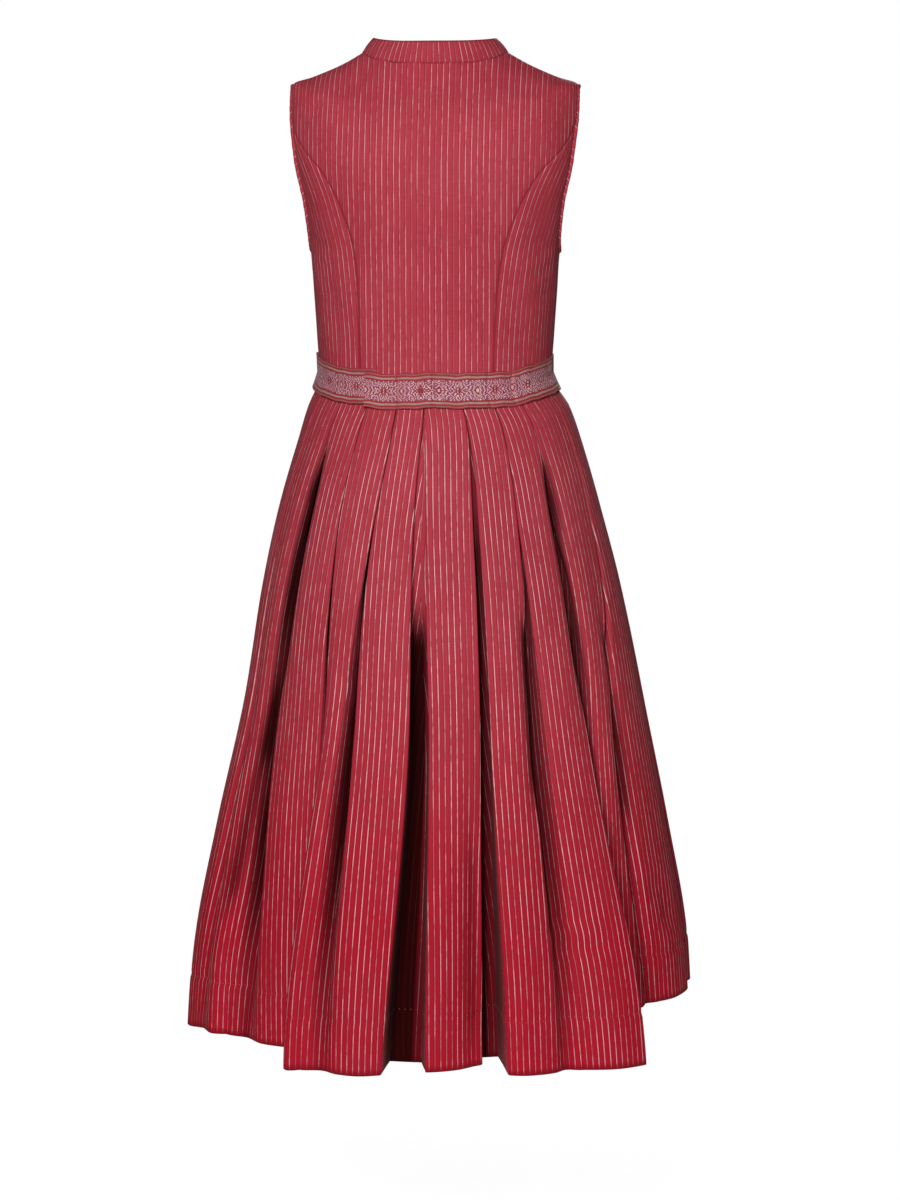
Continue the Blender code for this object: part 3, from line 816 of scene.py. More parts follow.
class Shell:
    """A closed thin shell of cloth on a grid of points, with its cloth coordinates."""

    def __init__(self, name: str, middle: np.ndarray, cloth: np.ndarray, wall: float) -> None:
        """Takes the middle surface.

        Args:
            name: the piece's name.
            middle: rows by columns by x, y, z, rising and turning to the right.
            cloth: each face's two cloth coordinates at its left and right: 2 by rows by
                faces by u, v in metres.
            wall: the cloth's thickness.
        """
        self.name, self.middle, self.cloth, self.wall = name, middle, cloth, wall
        # depth holds painted shade for the folds' hollows and crease troughs, from 0 to 1, not a
        # distance.
        self.edge, self.depth, self.inner_more = np.zeros((3, *middle.shape[:2]))
        self.normals = grid_normals(middle)

    def build(self, material: bpy.types.Material) -> bpy.types.Object:
        """Makes the object.

        Args:
            material: its finish.

        Returns:
            The object, with its mesh in place.
        """
        rows, columns = self.middle.shape[:2]
        outer = self.middle + self.normals * self.wall / 2
        inner = self.middle - self.normals * (self.wall / 2 + self.inner_more)[..., None]
        roll = (self.wall / 2 + self.inner_more) * 0.6
        top = unit(self.middle[-1] - self.middle[-2]) * roll[-1][:, None]
        bottom = unit(self.middle[0] - self.middle[1]) * roll[0][:, None]
        loop = np.concatenate([
            outer,
            ((outer[-1] + inner[-1]) / 2 + top)[None],
            inner[::-1],
            ((outer[0] + inner[0]) / 2 + bottom)[None],
        ])
        low = np.concatenate([np.arange(rows), [rows - 1], np.arange(rows)[::-1], [0]])
        high = np.roll(low, -1)
        left, right = self.cloth
        places = np.stack([left[low], right[low], right[high], left[high]], axis=2)
        ends, end_places = self._ends(rows, columns)
        quads = grid_quads(len(loop), columns, True, False).reshape(-1, 4)
        quads = np.concatenate([quads, ends])
        places = np.concatenate([places.reshape(-1, 2), end_places])
        piece = plain_mesh(self.name, loop.reshape(-1, 3), quads, places, material)
        # The second attribute carries the painted shade of fold hollows and crease troughs.
        for name, given in (("fold_edge", self.edge), ("painted_fold_shade", self.depth)):
            values = np.concatenate([given, given[-1:], given[::-1], given[:1]])
            attribute = piece.data.attributes.new(name, "FLOAT", "POINT")
            attribute.data.foreach_set("value", values.reshape(-1).astype(np.float32))
        return piece

    def _ends(self, rows: int, columns: int) -> tuple[np.ndarray, np.ndarray]:
        """The faces that close the shell's two side edges.

        Args:
            rows: the grid's rows.
            columns: the grid's columns.

        Returns:
            The quads and their cloth coordinates.
        """
        quads, places = [], []
        total = 2 * rows + 2
        pairs = [(total - 1, total - 1, 0, total - 2)]
        pairs += [(i, total - 2 - i, i + 1, total - 3 - i) for i in range(rows - 1)]
        pairs += [(rows - 1, rows + 1, rows, rows)]
        for column, flip in ((0, True), (columns - 1, False)):
            spots = self.cloth[0][:, 0] if column == 0 else self.cloth[1][:, -1]
            for low_out, low_in, high_out, high_in in pairs:
                corner = [low_out, low_in, high_in, high_out]
                corner = corner[::-1] if flip else corner
                row = min(low_out, rows - 1) if low_out < rows else 0
                quads.append([at * columns + column for at in corner])
                places += [spots[row]] * 4
        return np.array(quads), np.array(places)


def placed(name: str, data: bpy.types.ID) -> bpy.types.Object:
    """A new object in the scene, at the origin."""
    made = bpy.data.objects.new(name, data)
    bpy.context.scene.collection.objects.link(made)
    return made


def plain_mesh(name: str, points: np.ndarray, quads: np.ndarray, places: np.ndarray,
               material: bpy.types.Material) -> bpy.types.Object:
    """An object of quads, smooth shaded, with a UV map named cloth.

    Args:
        name: the object's name.
        points: its points.
        quads: four point numbers for each face. A face with a point twice becomes a triangle.
        places: the cloth coordinates of each face's corners, in order.
        material: its finish.

    Returns:
        The object, linked to the scene.
    """
    faces, keep = [], []
    for number, quad in enumerate(quads.tolist()):
        seen = [i for i, at in enumerate(quad) if at not in quad[:i]]
        if len(seen) > 2:
            faces.append([quad[i] for i in seen])
            keep += [number * 4 + i for i in seen]
    mesh = bpy.data.meshes.new(name)
    mesh.from_pydata(points.tolist(), [], faces)
    uv = mesh.uv_layers.new(name="cloth")
    uv.data.foreach_set("uv", places[keep].astype(np.float32).reshape(-1))
    mesh.materials.append(material)
    mesh.shade_smooth()
    mesh.set_sharp_from_angle(angle=math.radians(70))
    return placed(name, mesh)


def cloth_places(u: np.ndarray, v: np.ndarray) -> np.ndarray:
    """Cloth coordinates for a Shell from one u and v at each point."""
    both = np.stack([u, v], axis=-1)
    return np.stack([both[:, :-1], both[:, 1:]])


@dataclass(frozen=True)
class Crease:
    """A soft ridge or trough in a panel, in degrees round and rows or shares up it."""

    start: tuple[float, float]
    end: tuple[float, float]
    width: float
    height: float


def crease_heights(creases: Sequence[Crease], angles: np.ndarray, rise: np.ndarray,
                   degree: float, step: float) -> np.ndarray:
    """How far creases lift each point.

    Args:
        creases: the creases.
        angles: each point's degrees.
        rise: each point's row or share.
        degree: metres to a degree.
        step: metres to a whole row or share.

    Returns:
        The lift of each point, in metres.
    """
    lift = np.zeros(np.broadcast(angles, rise).shape)
    for crease in creases:
        start = np.array([crease.start[0] * degree, crease.start[1] * step])
        along = np.array([crease.end[0] * degree, crease.end[1] * step]) - start
        span = float(np.linalg.norm(along))
        along = along / span
        from_x, from_z = angles * degree - start[0], rise * step - start[1]
        run = (from_x * along[0] + from_z * along[1]) / span
        off = from_x * -along[1] + from_z * along[0]
        fade = ease(run / 0.3) * ease((1 - run) / 0.3)
        lift = lift + crease.height * bump(off, crease.width) * fade
    return lift


@dataclass
class Stitching:
    """Rows of sewn stitches, laid along lines by Geometry Nodes."""

    shop: Workshop
    seed: int = 11
    unevenness: float = 0.25

    def __post_init__(self) -> None:
        """Builds the tree once."""
        self.tree = self._tree()

    @staticmethod
    def _tree() -> bpy.types.NodeTree:
        """A tree that sews a stitch at every step along the given lines."""
        inputs = {"Geometry": Kind.SHAPE, "Step": 0.003, "Stitch length": 0.002,
                  "Thread thickness": 0.0004, "Unevenness": 0.2, "Seed": Kind.WHOLE,
                  "Finish": Kind.FINISH}
        graph = Graph.group("sewn stitches", "GeometryNodeTree", inputs, {"Geometry": Kind.SHAPE})
        given = graph.node("NodeGroupInput").outputs
        line = graph.node("GeometryNodeMeshToCurve", {"Mesh": given["Geometry"]}).outputs[0]
        spots = graph.node("GeometryNodeResampleCurve", {"Curve": line}, mode="LENGTH")
        graph.put(spots.inputs["Length"], given["Step"])
        along = graph.node("GeometryNodeInputTangent").outputs[0]
        turn = graph.node("FunctionNodeAlignRotationToVector", {"Vector": along}, axis="X")
        stitch = graph.node("GeometryNodeMeshUVSphere", {"Segments": 6, "Rings": 4, "Radius": 0.5})
        low = graph.math("SUBTRACT", 1.0, given["Unevenness"])
        uneven = graph.node("FunctionNodeRandomValue", {2: low, 3: 1.0, "Seed": given["Seed"]},
                            data_type="FLOAT")
        long = graph.times(uneven.outputs[1], given["Stitch length"])
        thick = given["Thread thickness"]
        laid = graph.node("GeometryNodeInstanceOnPoints", {
            "Points": spots.outputs[0], "Instance": stitch.outputs[0],
            "Rotation": turn.outputs[0], "Scale": graph.vector(long, thick, thick),
        })
        real = graph.node("GeometryNodeRealizeInstances", {0: laid.outputs[0]})
        done = graph.node("GeometryNodeSetMaterial",
                          {"Geometry": real.outputs[0], "Material": given["Finish"]})
        graph.node("NodeGroupOutput", {"Geometry": done.outputs[0]})
        return graph.tree

    def sew(self, name: str, lines: Sequence[np.ndarray], finish: str, slot: str,
            step: float, length: float, thickness: float) -> None:
        """Sews rows of stitches and hands them in as one plain mesh.

        Args:
            name: the piece's name.
            lines: points along each row.
            finish: the thread's finish.
            slot: a material slot's name, passed on to hand_in.
            step: metres from stitch to stitch.
            length: metres of thread that shows in each.
            thickness: the thread's thickness.
        """
        points, edges, count = [], [], 0
        for line in lines:
            points += line.tolist()
            edges += [(count + i, count + i + 1) for i in range(len(line) - 1)]
            count += len(line)
        mesh = bpy.data.meshes.new(name + " lines")
        mesh.from_pydata(points, edges, [])
        guide = placed(name + " lines", mesh)
        modifier = guide.modifiers.new("stitches", "NODES")
        modifier.node_group = self.tree
        values = {"Step": step, "Stitch length": length, "Thread thickness": thickness,
                  "Unevenness": self.unevenness, "Seed": self.seed,
                  "Finish": self.shop.finishes[finish]}
        for item in self.tree.interface.items_tree:
            if item.in_out == Side.INPUT.value and item.name in values:
                modifier[item.identifier] = values[item.name]
        graph = bpy.context.evaluated_depsgraph_get()
        sewn = bpy.data.meshes.new_from_object(guide.evaluated_get(graph), depsgraph=graph)
        sewn.name = name
        sewn.shade_smooth()
        bpy.data.objects.remove(guide)
        self.shop.hand_in(placed(name, sewn), slot)


@dataclass
class Bodice:
    """The bodice's panels, with their seams and the piping round the armholes."""

    shop: Workshop
    stitching: Stitching
    wall: float = 0.0012
    seam_dip: float = 0.0009
    seam_width: float = 0.0022
    arm_middle: float = 5.0
    arm_reach: float = 2.055
    arm_back: float = 18.0
    arm_front: float = 27.0
    seam_step: int = 9
    arm_steps: int = 14
    waist_rows: int = 40
    arm_rows: int = 61
    shoulder_rows: int = 28
    straight_from: float = 6.0
    closer: float = 0.018
    cord: float = 0.0022
    cord_steps: int = 160
    cord_sides: int = 12

    def __post_init__(self) -> None:
        """Draws the princess seams and the rows, which are closer along the armhole."""
        levels = [seam.level for seam in PRINCESS]
        self.back_seam = Line(levels, [seam.back for seam in PRINCESS])
        self.front_seam = Line(levels, [seam.front for seam in PRINCESS])
        turn = math.pi * self.seam_step / self.arm_steps
        self.seam_top = self.arm_middle - self.arm_reach * math.cos(turn)
        turns = np.linspace(0, math.pi, self.arm_rows)
        arms = self.arm_middle - self.arm_reach * np.cos(turns)
        self.rows = np.concatenate([
            np.linspace(0, arms[0], self.waist_rows, endpoint=False), arms,
            np.linspace(arms[-1], NECK, self.shoulder_rows)[1:],
        ])

    def build(self) -> None:
        """Builds every piece of the bodice."""
        self.back_centre()
        for side in (LEFT, RIGHT):
            self.front_centre(side)
            for front in (False, True):
                self.side_panel(side, front)
            self.piping(side)
        self.sew_seams()

    def arm_angle(self, row: np.ndarray, front: bool) -> np.ndarray:
        """Degrees of the armhole's edge at a row."""
        share = (row - self.arm_middle) / self.arm_reach
        reach = self.arm_front if front else -self.arm_back
        return 90 + reach * np.sqrt(np.maximum(0.0, 1 - share * share))

    def seam_angle(self, row: np.ndarray, side: int, front: bool) -> np.ndarray:
        """Degrees of a princess seam at a row, on one side."""
        seam = (self.front_seam if front else self.back_seam).at(row)
        turned = 0.0 if front else TURN * (1 - ease(row / self.seam_top))
        return side * seam + turned

    def centre_edge(self, row: np.ndarray, side: int, front: bool) -> np.ndarray:
        """Degrees of a centre panel's outer edge: seam, then armhole, then shoulder."""
        arm_top = self.arm_middle + self.arm_reach
        return np.where(
            row > arm_top,
            side * 90.0,
            np.where(row > self.seam_top, side * self.arm_angle(row, front),
                     self.seam_angle(row, side, front)),
        )

    def panel(self, name: str, node: str, rows: np.ndarray, left: np.ndarray,
              right: np.ndarray, columns: int, grain: float | None,
              creases: Sequence[Crease] = ()) -> None:
        """Makes one panel between two edges.

        Args:
            name: the piece's name.
            node: the solid that it stands for.
            rows: the bodice rows of its grid.
            left: degrees of its left edge at each row.
            right: degrees of its right edge at each row.
            columns: how many faces across.
            grain: degrees of the line that its stripes follow, or None for its middle.
            creases: its soft ridges and troughs.
        """
        share = np.linspace(0, 1, columns + 1)[None, :]
        share = share - self.closer * np.sin(2 * math.pi * share)
        angles = left[:, None] + (right - left)[:, None] * share
        points = self.shop.body.points(angles, rows[:, None])
        run, up = lengths(points), lengths(points, 0)
        if grain is None:
            u = self.slanted_run(run, rows, left, right)
        else:
            u = self.grain_run(points, run, rows, angles, grain)
        v = np.broadcast_to(up[:, up.shape[1] // 2][:, None], run.shape)
        on_arm = (rows > self.seam_top) & (rows < self.arm_middle + self.arm_reach)
        sewn = np.where(on_arm, 0.25, 1.0)[:, None]
        dip = np.zeros(run.shape)
        for away in (run, run[:, -1:] - run):
            dip -= self.seam_dip * sewn * bump(away, self.seam_width)
        lift = crease_heights(creases, angles, rows[:, None], BODICE_DEGREE, BODICE_ROW)
        lift = lift + 0.0004 * np.sin(angles * 0.21 + rows[:, None] * 1.7) * ease(rows[:, None])
        normals = grid_normals(points)
        shell = Shell(name, points + normals * (dip + lift)[..., None],
                      cloth_places(u, v), self.wall)
        close = np.minimum(run, run[:, -1:] - run)
        shell.edge = 0.85 * bump(close, 0.0011)
        piece = shell.build(self.shop.finishes["striped cloth"])
        self.shop.hand_in(piece, "cloth", [node])

    def slanted_run(self, run: np.ndarray, rows: np.ndarray, left: np.ndarray,
                    right: np.ndarray) -> np.ndarray:
        """How far across a side panel each point lies from its slanted grain line.

        The line runs midway between the princess seam and the side seam's own line, which
        goes straight on past the armhole.

        Args:
            run: each point's length along its row.
            rows: the bodice rows.
            left: degrees of the left edge at each row.
            right: degrees of the right edge at each row.

        Returns:
            The sideways cloth coordinate.
        """
        seam_left = abs(left[0]) % 90 > NEAR
        seam = left if seam_left else right
        side = 90.0 if seam[0] > 0 else -90.0
        share = np.linspace(0, 1, 41)[None, :]
        whole = seam[:, None] + (side - seam[:, None]) * share
        wide = lengths(self.shop.body.points(whole, rows[:, None]))[:, -1]
        if seam_left:
            return run - wide[:, None] / 2
        return run - run[:, -1:] + wide[:, None] / 2

    def grain_run(self, points: np.ndarray, run: np.ndarray, rows: np.ndarray,
                  angles: np.ndarray, grain: float) -> np.ndarray:
        """How far across the cloth each point lies from the panel's straight grain line.

        Args:
            points: the panel's points.
            run: each point's length along its row.
            rows: the bodice rows.
            angles: each point's degrees.
            grain: degrees of the grain line.

        Returns:
            The sideways cloth coordinate.
        """
        u = np.empty(run.shape)
        for i, row in enumerate(rows):
            across = points[i][:, 0]
            if row <= self.straight_from:
                u[i] = run[i] - np.interp(grain, angles[i], run[i])
                kept = np.stack([across, u[i]])[:, np.argsort(across)]
            else:
                u[i] = np.interp(across, kept[0], kept[1])
        return u

    def back_centre(self) -> None:
        """The back, cut in one, whose stripes run straight up."""
        rows = self.rows
        creases = (
            Crease((22, 9.2), (-4, 8.4), 0.006, -0.0011),
            Crease((30, 8.6), (2, 7.6), 0.009, 0.0009),
            Crease((-30, 0.3), (-22, 2.2), 0.005, -0.0008),
            Crease((-24, 0.2), (-15, 2.6), 0.006, 0.0007),
            Crease((28, 0.2), (20, 2.0), 0.006, -0.0007),
            Crease((-60, 6.2), (-40, 7.0), 0.008, -0.0008),
        )
        self.panel("back_centre_cloth", "back_centre", rows,
                   self.centre_edge(rows, LEFT, False), self.centre_edge(rows, RIGHT, False),
                   84, 0.0, creases)

    def front_centre(self, side: int) -> None:
        """One front, from the closing to its princess seam."""
        rows = self.rows
        middle = np.full(rows.shape, side * 180.0)
        edge = self.centre_edge(rows, side, True)
        left, right = (edge, middle) if side == RIGHT else (middle, edge)
        name = "front_centre_" + side_name(side)
        creases = (
            Crease((side * 150, 3.2), (side * 168, 4.4), 0.007, -0.0008),
            Crease((side * 155, 0.3), (side * 160, 2.0), 0.006, 0.0007),
        )
        self.panel(name + "_cloth", name, rows, left, right, 52, side * 180.0, creases)

    def side_panel(self, side: int, front: bool) -> None:
        """One side panel, from its princess seam round to the side seam and the armhole."""
        rows = self.rows[self.rows < self.seam_top - NEAR]
        rows = np.append(rows, self.seam_top - 0.004)
        inner = self.seam_angle(rows, side, front)
        arms = self.arm_middle - self.arm_reach
        outer = side * np.where(rows > arms, self.arm_angle(rows, front), 90.0)
        left, right = (inner, outer) if (side == RIGHT) != front else (outer, inner)
        name = ("front_side_" if front else "back_side_") + side_name(side)
        low, high = (float(edge[20]) for edge in (left, right))
        creases = (
            Crease((low + 4, 1.6), (high - 5, 2.0), 0.006, -0.0010),
            Crease((low + 6, 2.5), (high - 8, 3.1), 0.005, 0.0008),
            Crease((low + 10, 3.4), (high - 3, 3.0), 0.006, -0.0008),
        )
        self.panel(name + "_cloth", name, rows, left, right, 32, None, creases)

    def piping(self, side: int) -> None:
        """The corded edge of an armhole, covered in cloth cut on the cross."""
        turn = np.linspace(0, 2 * math.pi, self.cord_steps, endpoint=False)
        rows = self.arm_middle - self.arm_reach * np.cos(turn)
        back, front = (self.arm_angle(rows, forward) for forward in (False, True))
        angles = side * np.where(turn > math.pi, front, back)
        points = self.shop.body.points(angles, rows)
        normals = self.shop.body.normals(angles, rows)
        along = unit(np.roll(points, -1, axis=0) - np.roll(points, 1, axis=0))
        inwards = unit(np.cross(along, normals))
        inwards *= np.sign(np.sum(inwards * (points.mean(axis=0) - points), axis=1))[:, None]
        centre = points + inwards * (self.cord + 0.0002)
        around = np.linspace(0, 2 * math.pi, self.cord_sides, endpoint=False)[None, :, None]
        pucker = self.cord * (1 + 0.05 * np.sin(turn * 37) + 0.03 * np.sin(turn * 61 + 1))
        ring = inwards[:, None] * np.cos(around) + normals[:, None] * np.sin(around)
        tube = centre[:, None] + pucker[:, None, None] * ring
        self.tube_piece("armhole_piping_" + side_name(side), tube)

    def tube_piece(self, node: str, tube: np.ndarray) -> None:
        """Makes a closed tube of covered cord, the right way out.

        Args:
            node: the solid that it stands for.
            tube: points by step along and step round.
        """
        steps, sides = tube.shape[:2]
        quads = grid_quads(steps, sides, True, True)
        centre = tube.mean(axis=1)
        first = tube[0]
        face = np.cross(first[1] - first[0], tube[1, 0] - first[0])
        step = np.linalg.norm(np.roll(centre, -1, axis=0) - centre, axis=1)
        along = np.concatenate([[0], np.cumsum(step)])
        girth = np.linspace(0, 2 * math.pi * self.cord, sides + 1)
        cloth = np.stack(np.broadcast_arrays(girth[None, :], along[:, None]), axis=-1)
        places = np.stack([cloth[:-1, :-1], cloth[:-1, 1:], cloth[1:, 1:], cloth[1:, :-1]],
                          axis=2)
        if np.dot(face, first[0] - centre[0]) < 0:
            quads, places = quads[..., ::-1], places[:, :, ::-1]
        piece = plain_mesh(node + "_cord", tube.reshape(-1, 3), quads.reshape(-1, 4),
                           places.reshape(-1, 2),
                           self.shop.finishes["striped cloth cut on the cross"])
        self.shop.hand_in(piece, "piping", [node])

    def sew_seams(self) -> None:
        """The fine stitches that show in the four princess seams."""
        lines = []
        rows = self.rows[self.rows < self.seam_top - NEAR]
        for side in (LEFT, RIGHT):
            for front in (False, True):
                angles = self.seam_angle(rows, side, front)
                points = self.shop.body.points(angles, rows)
                normals = self.shop.body.normals(angles, rows)
                lines.append(points - normals * 0.0004)
        self.stitching.sew("princess_seam_stitches", lines, "seam thread", "cloth",
                           0.0034, 0.0018, 0.00045)


def side_name(side: int) -> str:
    """The wearer's right is +X."""
    return "right" if side == RIGHT else "left"


@dataclass
class Collar:
    """The stand collar: a doubled band with a rolled top edge."""

    shop: Workshop
    stitching: Stitching
    wall: float = 0.0018
    opening: float = 3.2
    columns: int = 150
    rows: int = 18

    def build(self) -> None:
        """Builds the collar and the stitches at its foot."""
        angles = np.linspace(self.opening - 180, 180 - self.opening, self.columns)
        foot = ring_points(self.shop.body.level(NECK), angles)
        top = ring_points(COLLAR_TOP, angles)
        share = np.linspace(-0.02, 1, self.rows)[:, None, None]
        points = foot + (top - foot) * share
        bow = 0.0008 * np.sin(np.pi * np.clip(share[..., 0], 0, 1))
        ripple = 0.0006 * np.sin(np.radians(angles * 3.1))[None, :] * share[..., 0] ** 2
        points = points + grid_normals(points) * (bow + ripple)[..., None]
        run = lengths(points)
        run = np.broadcast_to(run[0] - run[0, self.columns // 2], run.shape)
        up = lengths(points, 0)
        shell = Shell("collar_cloth", points, cloth_places(run, up), self.wall)
        shell.edge = 0.95 * bump(up[-1:] - up, 0.0012) + 0.6 * bump(up, 0.0012)
        piece = shell.build(self.shop.finishes["striped cloth"])
        self.shop.hand_in(piece, "cloth", ["collar"])
        line = points[1] + grid_normals(points)[1] * self.wall / 2
        self.stitching.sew("collar_stitches", [line], "seam thread", "cloth",
                           0.0034, 0.0017, 0.00042)


@dataclass
class Closing:
    """The front closing: a narrow placket with covered buttons."""

    shop: Workshop
    wall: float = 0.0012
    half_width: float = 0.012
    foot: float = 0.45
    short: float = 0.1
    lift: float = 0.0019
    buttons: int = 8
    buttons_from: float = -0.292
    buttons_to: float = -0.057
    radius: float = 0.0055
    thick: float = 0.0040
    sides: int = 32
    columns: int = 13
    rows: int = 90

    def build(self) -> None:
        """Builds the placket and its buttons."""
        rows = np.linspace(self.foot, NECK - self.short, self.rows)
        body = self.shop.body
        halves = np.array([body.degrees(self.half_width, 180, row) for row in rows])
        share = np.linspace(-1, 1, self.columns)[None, :]
        angles = 180 + halves[:, None] * share
        points = body.points(angles, rows[:, None])
        normals = body.normals(angles, rows[:, None])
        crown = 0.0003 * (1 - share ** 2) - 0.0006 * share ** 6
        points = points + normals * (self.lift + crown)[..., None]
        run, up = lengths(points), lengths(points, 0)
        middle = self.columns // 2
        places = cloth_places(run - run[:, [middle]], up)
        shell = Shell("front_placket_cloth", points, places, self.wall)
        shell.edge = 0.9 * bump(np.minimum(run, run[:, -1:] - run), 0.0011)
        piece = shell.build(self.shop.finishes["striped cloth"])
        self.shop.hand_in(piece, "cloth", ["front_placket"])
        heights = np.linspace(self.buttons_from, self.buttons_to, self.buttons)
        lines = (points[:, middle], grid_normals(points)[:, middle])
        for number, height in enumerate(heights, 1):
            spot, facing = (np.array([np.interp(height, lines[0][:, 2], axis) for axis in line.T])
                            for line in lines)
            facing = unit(facing)
            self.button(number, spot + facing * (self.wall / 2 + 0.0003), facing)

    def button(self, number: int, foot: np.ndarray, facing: np.ndarray) -> None:
        """One covered button, domed, with its cloth drawn in round the rim.

        Args:
            number: its number from the waist up.
            foot: the middle of its underside.
            facing: the way it faces.
        """
        profile = np.array([(0.0, 0.0), (0.55, 0.0), (0.86, 0.06), (0.97, 0.2), (1.0, 0.38),
                            (0.96, 0.56), (0.84, 0.74), (0.64, 0.88), (0.4, 0.96), (0.18, 0.99),
                            (0.0, 1.0)])
        sides, last = self.sides, (len(profile) - 1) * self.sides
        up = Vector(facing)
        across = up.cross(Vector((0, 0, 1))).normalized()
        across, along = np.array(across), np.array(across.cross(up))
        turn = np.linspace(0, 2 * math.pi, sides, endpoint=False)[:, None]
        ring = np.cos(turn) * across + np.sin(turn) * along
        wide, high = profile[:, 0, None, None] * self.radius, profile[:, 1, None, None] * self.thick
        points = foot + facing * high + ring[None] * wide
        points[0], points[-1] = points[0].mean(axis=0), points[-1].mean(axis=0)
        base = grid_quads(len(profile), sides, False, True).reshape(-1, 4)
        base = np.where(base < sides, 0, np.minimum(base, last))
        flat = points.reshape(-1, 3)
        cloth = np.stack([(flat - foot) @ across, (flat - foot) @ along], axis=-1)
        corner, beside, over = flat[[3 * sides, 3 * sides + 1, 4 * sides]]
        face = np.cross(beside - corner, over - corner)
        if np.dot(face, corner - (foot + facing * self.thick / 2)) < 0:
            base = base[:, ::-1]
        used = np.unique(base)
        new_number = np.zeros(len(flat), int)
        new_number[used] = np.arange(len(used))
        piece = plain_mesh(f"covered_button_{number}", flat[used], new_number[base],
                           cloth[base].reshape(-1, 2), self.shop.finishes["striped cloth"])
        self.shop.hand_in(piece, "buttons", [f"button_{number}"])


CHART = (
    "ww..pwl..lw.wwl..w..r.",
    "ww.lw.p.ww.lw..lw.l.rw",
    "w..pwl.lw..wl.ww..l..w",
    "..pw.l.wl.lw.wl..ww.o.",
    ".lw.wl.ww.b..wl.lw.l.o",
    "ow.lw.wl.lww..w.lw.w.w",
    "wl.w.lb.ww.lw.lw..wl.w",
    ".w..wl.lw.lb.w.lw.w.wl",
    "l.wwl.w.wl.ww.lw.lw.w.",
    ".wl.lw.lw.b.lwl.w.lw.l",
    "lw.w.lw..blw.w.lw.l.lw",
)
BORDER = "rsrrggrr"
THREADS: dict[str, Colour] = {
    ".": (0.20, 0.006, 0.018, 1),
    "r": (0.33, 0.014, 0.030, 1),
    "g": (0.40, 0.29, 0.22, 1),
    "s": (0.31, 0.16, 0.12, 1),
    "w": (0.80, 0.54, 0.58, 1),
    "l": (0.36, 0.13, 0.20, 1),
    "o": (0.58, 0.16, 0.07, 1),
    "p": (0.50, 0.17, 0.20, 1),
    "b": (0.18, 0.09, 0.24, 1),
}


